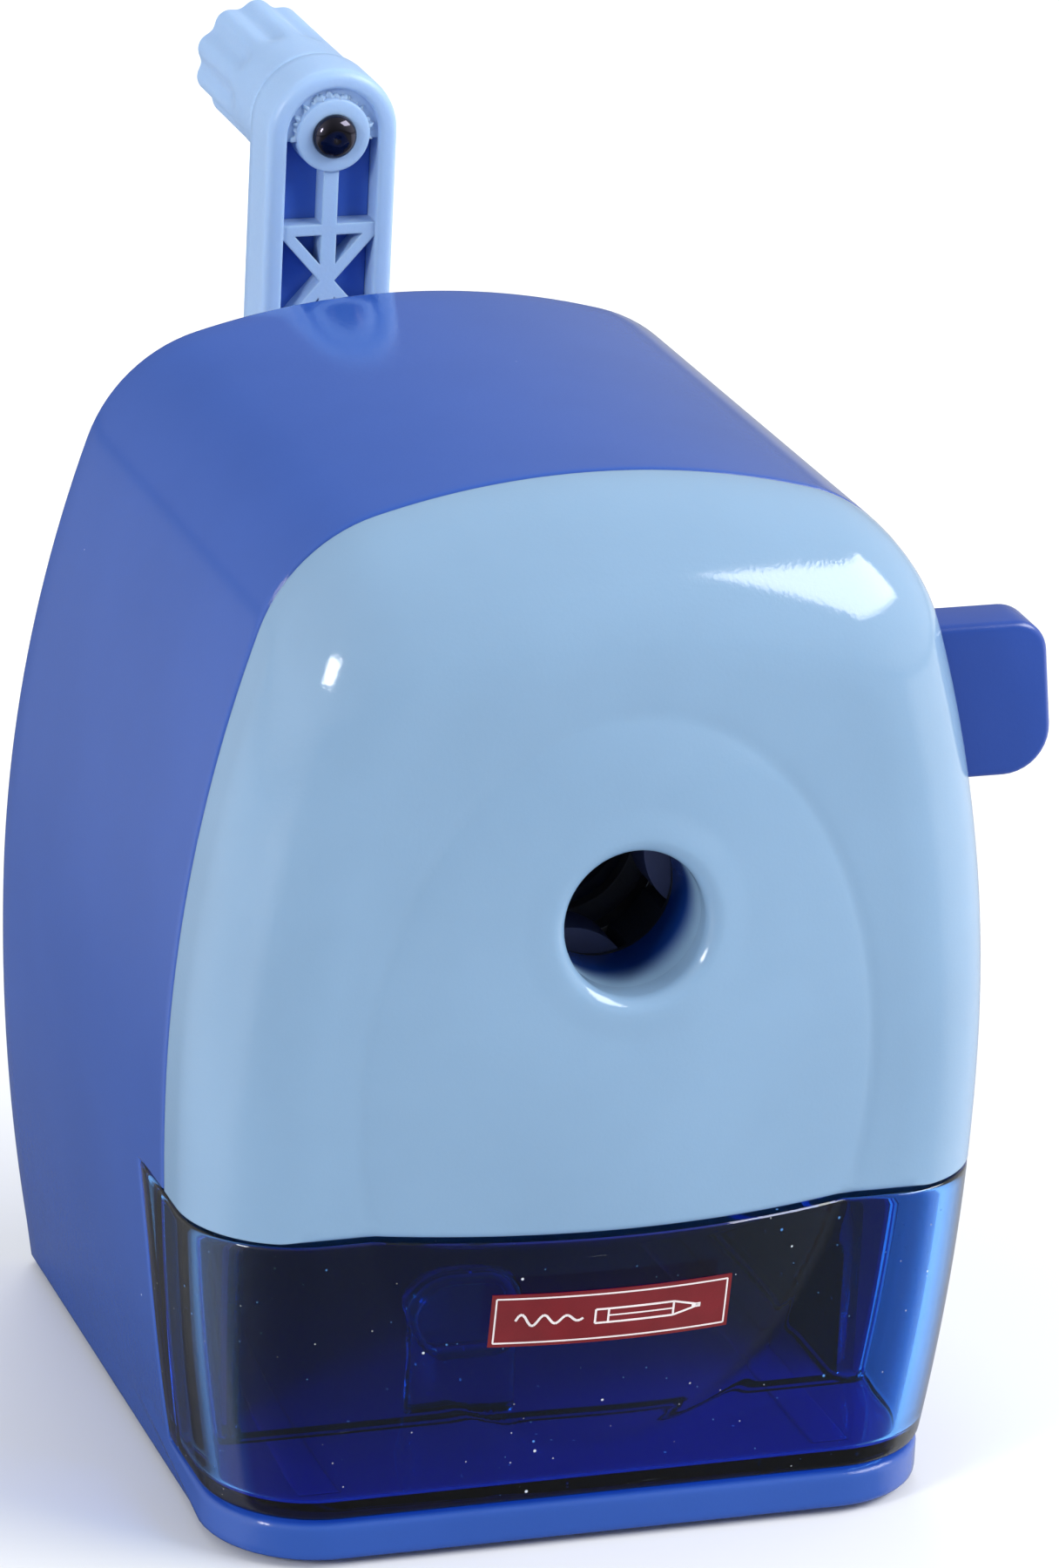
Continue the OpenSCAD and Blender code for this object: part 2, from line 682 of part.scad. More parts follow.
// Push button at the right: its yoke moves the cam ring's lever pin
module release_button() {
    color([0.18, 0.30, 0.62]) {
        difference() {
            plate_y(y_tab, y_tab + tab_t) hull() {
                translate([24.5, tab_z0]) square([6, tab_z1 - tab_z0]);
                translate([tab_low_x - 4.5, tab_z0 + 4.5]) circle(r = 4.5, $fn = 32);
                translate([tab_high_x - 3.5, tab_z1 - 3.5]) circle(r = 3.5, $fn = 32);
            }
            block([20, y_tab + 1.6, tab_z0 + 1.8], [32, y_tab + tab_t - 1.6, tab_z1 - 1.8]);
        }
        difference() {
            plate_y(y_yoke, y_yoke + yoke_t) polygon([
                [yoke_left, yoke_z0], [26, yoke_z0], [28, tab_z0 + 3],
                [yoke_right, tab_z0 + 3], [yoke_right, yoke_z1], [yoke_left, yoke_z1]
            ]);
            block([lever_r * cos(lever_angle) - lever_pin_r - 0.25, y_yoke - 1,
                   pencil_z + lever_r * sin(lever_angle) - 2.2],
                  [lever_r * cos(lever_angle) + lever_pin_r + 0.25, y_yoke + yoke_t + 1,
                   pencil_z + lever_r + 2.2]);
        }
        block([25, y_tab + tab_t - 1.6, yoke_z0], [yoke_right, y_yoke + 0.5, yoke_z1]);
    }
}

// Ring with three spiral slots: turning it moves the jaws in or out together
module cam_ring() {
    k = jaw_travel / cam_turn;
    color([0.78, 0.76, 0.70]) {
        difference() {
            translate([0, 0, pencil_z]) plate_y(y_cam, y_cam + cam_t) difference() {
                union() {
                    circle(r = cam_r, $fn = 96);
                    rotate([0, 0, lever_angle]) translate([12, -2.6]) square([lever_r - 12, 5.2]);
                    rotate([0, 0, lever_angle]) translate([lever_r, 0]) circle(r = 2.6, $fn = 32);
                }
                for (a = jaw_angles) polygon(concat(
                    [for (t = [-8 : 4 : cam_turn + 8])
                        (jaw_pin_at + k * t - jaw_pin_r - pin_play) * [cos(a - t), sin(a - t)]],
                    [for (t = [cam_turn + 8 : -4 : -8])
                        (jaw_pin_at + k * t + jaw_pin_r + pin_play) * [cos(a - t), sin(a - t)]]
                ));
            }
            bar_y(0, pencil_z, y_cam - 1, y_cam + cam_t + 1, hole_d / 2 + 0.6);
        }
        bar_y(lever_r * cos(lever_angle), pencil_z + lever_r * sin(lever_angle),
              y_cam + cam_t - eps, y_yoke + yoke_t, lever_pin_r);
    }
}

// One clamp jaw with a rounded nose, at angle a round the pencil axis
module jaw(a) {
    nose_r = 7;
    color([0.22, 0.23, 0.25]) translate([0, 0, pencil_z]) {
        plate_y(y_jaw, y_jaw + jaw_t) rotate([0, 0, a]) intersection() {
            union() {
                translate([jaw_gap + nose_r, 0]) circle(r = nose_r, $fn = 64);
                translate([jaw_gap + nose_r, -jaw_w]) square([14.5 - jaw_gap - nose_r, 2 * jaw_w]);
            }
            translate([0, -jaw_w / 2]) square([14.5, jaw_w]);
        }
    }
    color([0.7, 0.7, 0.72])
        bar_y(jaw_pin_at * cos(a), pencil_z + jaw_pin_at * sin(a),
              y_jaw + jaw_t - eps, y_cam + cam_t - 0.1, jaw_pin_r);
}

module jaw_1() { jaw(jaw_angles[0]); }
module jaw_2() { jaw(jaw_angles[1]); }
module jaw_3() { jaw(jaw_angles[2]); }

// ---- Crank ----

// The crank arm's outline in XZ, drawn in by t
module arm_outline(t) {
    translate([t - arm_w / 2, pencil_z]) square([arm_w - 2 * t, crank_throw]);
    for (z = [pencil_z, pin_z]) translate([0, z]) circle(r = arm_w / 2 - t, $fn = 64);
}

// A straight rib in XZ between two points
module rib(p, q) {
    d = q - p;
    translate(p) rotate([0, 0, atan2(d[1], d[0])]) translate([0, -rib_t / 2]) square([norm(d), rib_t]);
}

module crank_arm() {
    half = arm_w / 2 - arm_rim + 0.4;
    cell = 9.8;
    first = pin_z - 10.6;
    color([0.62, 0.76, 0.92]) difference() {
        union() {
            difference() {
                plate_y(y_arm, y_arm + arm_d) arm_outline(0);
                plate_y(y_arm - 1, y_arm + arm_d - arm_floor) arm_outline(arm_rim);
                // The floor is open below the pin, where the cover closes it
                plate_y(y_arm, y_arm + arm_d + 1) intersection() {
                    arm_outline(arm_rim);
                    translate([-arm_w, pencil_z]) square([2 * arm_w, crank_throw - 0.6]);
                }
            }
            intersection() {
                plate_y(y_arm + 0.5, y_arm + arm_d - arm_floor) {
                    rib([0, pencil_z], [0, pin_z]);
                    for (k = [0 : 2]) rib([-half, first - k * cell], [half, first - k * cell]);
                    for (k = [0 : 1], s = [-1, 1])
                        rib([-half, first - (k + 0.5 - s / 2) * cell],
                            [half, first - (k + 0.5 + s / 2) * cell]);
                }
                plate_y(y_arm, y_arm + arm_d) arm_outline(1);
            }
            bar_y(0, pin_z, y_arm, y_arm + arm_d, pin_boss_r);
            bar_y(0, pencil_z, y_washer + washer_t, y_arm + arm_d, hub_r);
        }
        bar_y(0, pencil_z, y_washer, y_arm + arm_d - arm_floor, shaft_r);
        bar_y(0, pencil_z, y_arm, y_arm + arm_d + 1, frame_screw_r);
        bar_y(0, pin_z, y_arm - 1, y_arm + arm_d + 1, pin_r);
    }
}

// Plate that closes the arm's hollow from behind
module arm_cover() {
    color([0.16, 0.30, 0.62]) difference() {
        plate_y(y_arm + arm_d - arm_floor, y_arm + arm_d) intersection() {
            arm_outline(arm_rim);
            translate([-arm_w, pencil_z]) square([2 * arm_w, crank_throw - 0.6]);
        }
        bar_y(0, pin_z, y_arm, y_arm + arm_d + 1, pin_boss_r);
        bar_y(0, pencil_z, y_arm, y_arm + arm_d + 1, hub_r);
    }
}

module crank_screw() {
    color("silver")
        pan_screw(0, pencil_z, y_arm + arm_d + 2, y_arm - 3, frame_screw_r, 3.2, 2);
}

module thrust_washer() {
    color([0.75, 0.75, 0.76]) tube_y(0, pencil_z, y_washer, y_washer + washer_t, 6.4, shaft_r);
}

module crank_shaft() {
    color("silver") difference() {
        bar_y(0, pencil_z, y_rear_disc, y_arm + arm_d - arm_floor, shaft_r);
        bar_y(0, pencil_z, y_arm - 3.4, y_arm + arm_d, frame_screw_r);
    }
}

// Place along the cutter's tilted axis, s measured from the gear plane towards the back
module on_cutter_axis(s) {
    translate([0, gear_y, pencil_z + gear_a]) rotate([-90 - tilt, 0, 0]) translate([0, 0, s])
        children();
}

// Frame that goes round with the crank and holds the cutter against the pencil
module cutter_carrier() {
    front_len = y_rear_disc - y_carrier;
    color([0.55, 0.56, 0.58]) difference() {
        union() {
            bar_y(0, pencil_z, y_carrier, y_carrier + carrier_t, 15);
            bar_y(0, pencil_z, y_rear_disc, y_rear_disc + carrier_t, 10);
            // Trough below the axis that backs up the pencil's cone
            translate([0, y_carrier, pencil_z]) rotate([-90, 0, 0])
                rotate([0, 0, 28]) rotate_extrude(angle = 124, $fn = 64)
                    polygon([[5, 1], [5, 5], [2.6, 18], [2.6, 22], [6, 24], [6, front_len + 1],
                             [9.6, front_len + 1], [9.6, 1]]);
        }
        bar_y(0, pencil_z, y_carrier - 1, y_carrier + carrier_t + 1, 4.4);
        bar_y(0, pencil_z, y_rear_disc - 1, y_rear_disc + carrier_t + 1, shaft_r);
        on_cutter_axis(-45) cylinder(h = 60, r = axle_r, $fn = 64);
        // Flats that lighten the front disc on both sides
        for (s = [-1, 1]) block([s * 19 - 6.5, y_carrier - 1, pencil_z - far],
                                [s * 19 + 6.5, y_carrier + carrier_t + 1, pencil_z + far]);
    }
}

module cutter_axle() {
    color("silver") intersection() {
        difference() {
            on_cutter_axis(-45) cylinder(h = 60, r = axle_r, $fn = 64);
            bar_y(0, pencil_z, y_rear_disc - 1, y_rear_disc + far, shaft_r);
        }
        block([-far, y_carrier, 0], [far, y_rear_disc + carrier_t, far]);
    }
}

module grip_pin() {
    dome_r = 3.4;
    color([0.8, 0.8, 0.82]) {
        bar_y(0, pin_z, y_arm - 0.4, y_arm + arm_d + grip_l - 6, pin_r);
        intersection() {
            bar_y(0, pin_z, y_arm - 1.6, y_arm - eps, pin_head_r);
            translate([0, y_arm - 1.3 + dome_r, pin_z]) sphere(r = dome_r, $fn = 64);
        }
    }
}

// ---- Cutter and grip ----

// Helical cutter: saw teeth wound round a drum
module cutter() {
    n = 16;
    color([0.45, 0.46, 0.48]) on_cutter_axis(cutter_s0) difference() {
        linear_extrude(height = cutter_s1 - cutter_s0, twist = 70, slices = 14)
            polygon([for (i = [0 : n - 1], k = [0, 1])
                (k == 0 ? cutter_r : cutter_r - 0.8)
                * [cos(360 * (i + 0.65 * k) / n), sin(360 * (i + 0.65 * k) / n)]]);
        translate([0, 0, -1]) cylinder(h = far, r = axle_r + run_gap, $fn = 64);
    }
}

module cutter_pinion() {
    hub_l = -cutter_s1 - pinion_t / 2;
    color([0.85, 0.75, 0.45]) on_cutter_axis(0) difference() {
        union() {
            translate([0, 0, -pinion_t / 2]) linear_extrude(pinion_t)
                polygon(teeth(pinion_n, pinion_r - 0.8, 1.5, pinion_r + 0.55, 0.55, 270));
            translate([0, 0, -pinion_t / 2 - hub_l]) cylinder(h = hub_l + 0.5, r = 3.6, $fn = 48);
        }
        translate([0, 0, -10]) cylinder(h = 20, r = axle_r + run_gap, $fn = 64);
    }
}

// Grip that turns freely on its pin, with flutes in its outer end
module grip() {
    y0 = y_arm + arm_d + 0.4;
    collar_l = 7;
    flute_r = 2;
    flute_depth = 0.7;
    color([0.63, 0.76, 0.9]) difference() {
        union() {
            bar_y(0, pin_z, y0, y0 + collar_l, grip_d / 2);
            translate([0, 0, pin_z]) plate_y(y0 + collar_l, y0 + grip_l) difference() {
                circle(r = grip_d / 2, $fn = 96);
                for (i = [0 : grip_flutes - 1]) rotate([0, 0, 360 * i / grip_flutes])
                    translate([grip_d / 2 + flute_r - flute_depth, 0]) circle(r = flute_r, $fn = 32);
            }
        }
        bar_y(0, pin_z, y0 - 1, y0 + grip_l - 5, pin_r + run_gap);
    }
}

housing();
mechanism_frame();
frame_screws();
ring_gear();
ring_screws();
shaft_bush();
pencil_guide();
rod_bushes();
rubber_feet();
drawer();
drawer_label();
face_plate();
guide_rods();
rod_collars();
feed_springs();
clamp_body();
clamp_cover();
clamp_screws();
plate_screws();
button_spring();
release_button();
cam_ring();
jaw_1();
jaw_2();
jaw_3();
crank_arm();
arm_cover();
crank_screw();
thrust_washer();
crank_shaft();
cutter_carrier();
cutter_axle();
grip_pin();
cutter();
cutter_pinion();
grip();
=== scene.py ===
"""Looks of a desk pencil sharpener with a hand crank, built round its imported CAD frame.

Lengths in this file are millimetres unless a name says otherwise; meshes are made in metres.
"""

import json
import math

import bmesh
import bpy
import numpy as np
from mathutils import Matrix, Vector


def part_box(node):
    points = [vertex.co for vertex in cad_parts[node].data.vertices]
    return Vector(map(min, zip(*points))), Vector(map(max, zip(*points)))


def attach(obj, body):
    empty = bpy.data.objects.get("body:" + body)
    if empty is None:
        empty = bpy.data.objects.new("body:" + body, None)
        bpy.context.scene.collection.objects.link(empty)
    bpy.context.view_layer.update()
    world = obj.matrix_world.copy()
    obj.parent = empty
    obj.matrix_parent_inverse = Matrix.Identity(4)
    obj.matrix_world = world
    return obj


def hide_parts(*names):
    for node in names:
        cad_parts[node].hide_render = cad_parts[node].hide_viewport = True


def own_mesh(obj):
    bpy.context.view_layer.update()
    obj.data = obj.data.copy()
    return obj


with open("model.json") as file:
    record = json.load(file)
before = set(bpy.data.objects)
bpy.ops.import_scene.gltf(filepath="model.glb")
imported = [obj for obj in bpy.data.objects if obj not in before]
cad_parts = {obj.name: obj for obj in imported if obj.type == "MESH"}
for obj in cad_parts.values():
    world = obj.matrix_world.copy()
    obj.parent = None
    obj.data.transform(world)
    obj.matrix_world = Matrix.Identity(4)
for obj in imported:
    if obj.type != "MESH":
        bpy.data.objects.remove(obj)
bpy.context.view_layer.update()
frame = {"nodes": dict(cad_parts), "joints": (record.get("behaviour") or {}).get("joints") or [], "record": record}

MM = 0.001


def node_box(node):
    low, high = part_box(node)
    return np.array(low) / MM, np.array(high) / MM


# ---- Sizes read from the frame ----
plate_lo, plate_hi = node_box("face_plate")
house_lo, house_hi = node_box("housing")
drawer_lo, drawer_hi = node_box("drawer")
arm_lo, arm_hi = node_box("crank_arm")
grip_lo, grip_hi = node_box("grip")
label_lo, label_hi = node_box("drawer_label")
button_lo, button_hi = node_box("release_button")
screw_lo, screw_hi = node_box("frame_screws")
joint_at = {j["name"]: np.array(j["pos_m"]) / MM for j in frame["joints"] if "pos_m" in j}

LIP_OUT = 4.0
HEAD_T = 2.0
Y_FRONT = plate_lo[1] + LIP_OUT
Y_SEAM = plate_hi[1] + 0.1
Y_BACK = screw_hi[1] - HEAD_T
BODY_W = house_hi[0] * 2
BODY_H = house_hi[2]
PLATE_Z = plate_lo[2]
PLATE_D = Y_SEAM - Y_FRONT
PENCIL_Z = joint_at["crank_turn"][2]
PIN_Z = joint_at["grip_spin"][2]
WALL = 2.2

# The body's outline: a chain of arcs on each side
SIDE_Z = 44.1
LOW_R = 220.7
UP_R = 146.7
CORNER_R = 16.2
TOP_R = 79.4
EDGE_R = 10.9
CROWN_R = 14.5
DRAFT = 0.014

# The oval dome on the front
DOME_A = 25.3
DOME_B = 36.9
DOME_Z = 47.7
DOME_RISE = 4.2


# ---- Outline functions ----
def arc(centre, radius, start, end, count, skip_first=True):
    t = np.linspace(start, end, count + 1)[1 if skip_first else 0:]
    return np.column_stack([centre[0] + radius * np.cos(t), centre[1] + radius * np.sin(t)])


def meet(c1, r1, c2, r2):
    """Upper crossing of two circles."""
    c1, c2 = np.array(c1), np.array(c2)
    d = np.linalg.norm(c2 - c1)
    u = (c2 - c1) / d
    a = (r1 * r1 - r2 * r2 + d * d) / (2 * d)
    return c1 + a * u + math.sqrt(r1 * r1 - a * a) * np.array([-u[1], u[0]])


def half_outline(ts, tt, zb, counts=(10, 22, 14, 16)):
    """Right half of the outline in XZ from height zb up to the crown, drawn in by ts and tt."""
    low_c = (BODY_W / 2 - LOW_R, SIDE_Z)
    up_c = (BODY_W / 2 - UP_R, SIDE_Z)
    top_c = (0, BODY_H - TOP_R)
    rc = CORNER_R - ts
    cc = meet(up_c, UP_R - ts - rc, top_c, TOP_R - tt - rc)
    a_up = math.atan2(cc[1] - up_c[1], cc[0] - up_c[0])
    a_top = math.atan2(cc[1] - top_c[1], cc[0] - top_c[0])
    foot = math.asin((zb - SIDE_Z) / (LOW_R - ts))
    return np.concatenate([
        arc(low_c, LOW_R - ts, foot, 0, counts[0], skip_first=False),
        arc(up_c, UP_R - ts, 0, a_up, counts[1]),
        arc(cc, rc, a_up, a_top, counts[2]),
        arc(top_c, TOP_R - tt, a_top, math.pi / 2, counts[3]),
    ])


def side_x(z, t=0.0):
    """Half width at height z below the widest point, drawn in by t."""
    return BODY_W / 2 - LOW_R + np.sqrt((LOW_R - t) ** 2 - (SIDE_Z - np.asarray(z)) ** 2)


def roll(r, u):
    """How far a rounded edge of radius r has drawn in at depth u behind its front."""
    return r - math.sqrt(r * r - (r - u) ** 2) if 0 <= u < r else 0.0


def dome(x, z, soft=0.05):
    """How far the dome stands in front of the flat front, with a fine groove along its crease."""
    h = DOME_RISE * (1 - (x / DOME_A) ** 2 - ((z - DOME_Z) / DOME_B) ** 2)
    return 0.5 * (h + np.sqrt(h * h + soft * soft)) - 0.07 * np.exp(-((h + 0.12) / 0.24) ** 2)


def smooth(t):
    t = np.clip(t, 0, 1)
    return t * t * (3 - 2 * t)


# ---- Mesh building ----
def skin(rings, loop=False, caps=False):
    """Quads through a row of closed rings with equal point counts."""
    rings = [np.asarray(r, float) for r in rings]
    n = len(rings[0])
    faces = []
    for j in range(len(rings) if loop else len(rings) - 1):
        a, b = j * n, (j + 1) % len(rings) * n
        faces += [(a + k, a + (k + 1) % n, b + (k + 1) % n, b + k) for k in range(n)]
    if caps:
        faces.append(tuple(range(n - 1, -1, -1)))
        faces.append(tuple((len(rings) - 1) * n + k for k in range(n)))
    return np.concatenate(rings), faces


def inset(poly, d):
    """A closed 2-D outline moved inwards by d (outwards if negative), point for point."""
    poly = np.asarray(poly, float)
    before, after = np.roll(poly, 1, 0), np.roll(poly, -1, 0)
    area = 0.5 * np.sum(poly[:, 0] * after[:, 1] - after[:, 0] * poly[:, 1])
    e1, e2 = poly - before, after - poly
    e1 /= np.linalg.norm(e1, axis=1)[:, None] + 1e-12
    e2 /= np.linalg.norm(e2, axis=1)[:, None] + 1e-12
    n1 = np.column_stack([-e1[:, 1], e1[:, 0]])
    n2 = np.column_stack([-e2[:, 1], e2[:, 0]])
    n = n1 + n2
    n /= np.maximum(np.sum(n * n1, axis=1), 0.35)[:, None] * 1.0
    return poly + n * d * (1 if area > 0 else -1)


def rounded(points, radius, steps=6):
    """A closed 2-D outline whose corners are arcs; radius is one number or one per corner."""
    points = [np.array(p, float) for p in points]
    radii = radius if hasattr(radius, "__len__") else [radius] * len(points)
    out = []
    for i, p in enumerate(points):
        a, b = points[i - 1], points[(i + 1) % len(points)]
        u, v = (a - p) / np.linalg.norm(a - p), (b - p) / np.linalg.norm(b - p)
        if radii[i] <= 0:
            out.append(p)
            continue
        half = math.acos(np.clip(np.dot(u, v), -1, 1)) / 2
        reach = radii[i] / math.tan(half)
        c = p + (u + v) / np.linalg.norm(u + v) * radii[i] / math.sin(half)
        s, e = p + u * reach - c, p + v * reach - c
        sweep = math.atan2(s[0] * e[1] - s[1] * e[0], np.dot(s, e))
        start = math.atan2(s[1], s[0])
        for k in range(steps + 1):
            t = start + sweep * k / steps
            out.append(c + radii[i] * np.array([math.cos(t), math.sin(t)]))
    return np.array(out)


def slab(outline, y0, y1, edge=0.3, steps=3):
    """An outline in XZ made into a plate from y0 to y1 with rounded edges."""
    turns = [math.pi / 2 * i / steps for i in range(steps + 1)]
    rows = [(edge * (1 - math.sin(a)), y0 + edge * (1 - math.cos(a))) for a in turns]
    rows += [(edge * (1 - math.cos(a)), y1 - edge * (1 - math.sin(a))) for a in turns]
    rings = []
    for t, y in rows:
        o = inset(outline, t)
        rings.append(np.column_stack([o[:, 0], np.full(len(o), y), o[:, 1]]))
    return skin(rings, caps=True)


def box_solid(low, high, edge=0.25):
    """A box with rounded edges along all its sides."""
    x0, y0, z0 = low
    x1, y1, z1 = high
    return slab(rounded([(x0, z0), (x1, z0), (x1, z1), (x0, z1)], edge * 1.6, 3), y0, y1, edge)


def lathe(profile, centre, count=96):
    """A closed ring of profile points (radius, y) turned round an axis along Y."""
    t = np.linspace(0, 2 * math.pi, count, endpoint=False)
    x, z = centre
    rings = [np.column_stack([x + r * np.cos(t), np.full(count, y), z + r * np.sin(t)])
             for r, y in profile]
    return skin(rings, loop=True)


def turned(profile, centre, count=96):
    """A solid of revolution whose profile runs from axis to axis."""
    t = np.linspace(0, 2 * math.pi, count, endpoint=False)
    x, z = centre
    rings = [np.column_stack([x + r * np.cos(t), np.full(count, y), z + r * np.sin(t)])
             for r, y in profile]
    return skin(rings, caps=True)


def mesh_object(name, parts, sharp_deg=32.0):
    """One object from a list of (points, faces) in millimetres, smooth with sharp edges kept."""
    bm = bmesh.new()
    for points, faces in parts:
        verts = [bm.verts.new(Vector(p) * MM) for p in points]
        for f in faces:
            try:
                bm.faces.new([verts[i] for i in f])
            except ValueError:
                pass
    bmesh.ops.remove_doubles(bm, verts=bm.verts, dist=1e-7)
    bmesh.ops.recalc_face_normals(bm, faces=bm.faces)
    mesh = bpy.data.meshes.new(name)
    bm.to_mesh(mesh)
    bm.free()
    obj = bpy.data.objects.new(name, mesh)
    bpy.context.scene.collection.objects.link(obj)
    finish_shading(obj, sharp_deg)
    return obj


def finish_shading(obj, sharp_deg=32.0):
    for poly in obj.data.polygons:
        poly.use_smooth = True
    obj.data.set_sharp_from_angle(angle=math.radians(sharp_deg))


def combine(obj, other, operation):
    """Boolean of obj with other, which is used up."""
    mod = obj.modifiers.new("cut", "BOOLEAN")
    mod.operation = operation
    mod.solver = "EXACT"
    mod.object = other
    bpy.context.view_layer.update()
    graph = bpy.context.evaluated_depsgraph_get()
    mesh = bpy.data.meshes.new_from_object(obj.evaluated_get(graph))
    obj.modifiers.clear()
    obj.data = mesh
    bpy.data.objects.remove(other)
    finish_shading(obj)
    return obj


def place(obj, body, material, replaces=()):
    """Gives a piece its material, its body and the CAD nodes that it stands for."""
    obj.data.materials.clear()
    obj.data.materials.append(material)
    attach(obj, body)
    if replaces:
        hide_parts(*replaces)
    return obj


# ---- Materials ----
def linear(r, g, b):
    """A colour given as display values from 0 to 255, as scene-linear numbers."""
    def one(c):
        c /= 255
        return c / 12.92 if c <= 0.04045 else ((c + 0.055) / 1.055) ** 2.4
    return one(r), one(g), one(b), 1.0


class Shader:
    """A small helper that adds and links shader nodes."""

    def __init__(self, name):
        self.material = bpy.data.materials.new(name)
        self.material.use_nodes = True
        self.tree = self.material.node_tree
        self.tree.nodes.clear()
        self.output = self.add("ShaderNodeOutputMaterial")
        self.bsdf = self.add("ShaderNodeBsdfPrincipled")
        self.link(self.bsdf, "BSDF", self.output, "Surface")
        self.place = self.add("ShaderNodeTexCoord")

    def add(self, kind, inputs=None, **settings):
        node = self.tree.nodes.new(kind)
        for key, value in settings.items():
            setattr(node, key, value)
        for key, value in (inputs or {}).items():
            if isinstance(value, bpy.types.NodeSocket):
                self.tree.links.new(value, node.inputs[key])
            else:
                node.inputs[key].default_value = value
        return node

    def link(self, a, out, b, into):
        self.tree.links.new(a.outputs[out], b.inputs[into])

    def noise(self, scale, detail=2.0, stretch=None, roughness=0.5):
        """Noise from 0 to 1 in object space; scale counts features per metre."""
        vector = self.place.outputs["Object"]
        if stretch:
            mapping = self.add("ShaderNodeMapping", {"Vector": vector, "Scale": stretch})
            vector = mapping.outputs["Vector"]
        node = self.add("ShaderNodeTexNoise", {
            "Vector": vector, "Scale": scale, "Detail": detail, "Roughness": roughness})
        return node.outputs["Fac"]

    def ramp(self, value, low, high, out_low=0.0, out_high=1.0):
        """Maps value from [low, high] to [out_low, out_high], clamped."""
        node = self.add("ShaderNodeMapRange", {
            "Value": value, "From Min": low, "From Max": high, "To Min": out_low, "To Max": out_high})
        return node.outputs["Result"]

    def math(self, operation, a, b=0.0):
        node = self.add("ShaderNodeMath", operation=operation)
        for i, v in enumerate((a, b)):
            if isinstance(v, bpy.types.NodeSocket):
                self.tree.links.new(v, node.inputs[i])
            else:
                node.inputs[i].default_value = v
        return node.outputs[0]

    def mix(self, factor, a, b):
        node = self.add("ShaderNodeMix", data_type="RGBA")
        for key, v in ((0, factor), (6, a), (7, b)):
            if isinstance(v, bpy.types.NodeSocket):
                self.tree.links.new(v, node.inputs[key])
            else:
                node.inputs[key].default_value = v
        return node.outputs[2]

    def specks(self, scale, size, share):
        """Small scattered dust grains: 1 on a grain and 0 elsewhere."""
        cells = self.add("ShaderNodeTexVoronoi", {
            "Vector": self.place.outputs["Object"], "Scale": scale, "Randomness": 1.0})
        near = self.ramp(cells.outputs["Distance"], size, size * 0.6)
        pick = self.add("ShaderNodeSeparateColor", {"Color": cells.outputs["Color"]})
        few = self.ramp(pick.outputs["Red"], 1 - share, 1 - share + 0.001)
        return self.math("MULTIPLY", near, few)

    def bevel(self, radius_mm, samples=4):
        return self.add("ShaderNodeBevel", {"Radius": radius_mm * MM}, samples=samples)

    def edge_mask(self, bevel):
        """About 1 on edges that a bevel rounds over, and 0 on flat ground."""
        geometry = self.add("ShaderNodeNewGeometry")
        dot = self.add("ShaderNodeVectorMath", operation="DOT_PRODUCT")
        self.tree.links.new(bevel.outputs["Normal"], dot.inputs[0])
        self.tree.links.new(geometry.outputs["Normal"], dot.inputs[1])
        return self.ramp(dot.outputs["Value"], 0.99, 0.85)


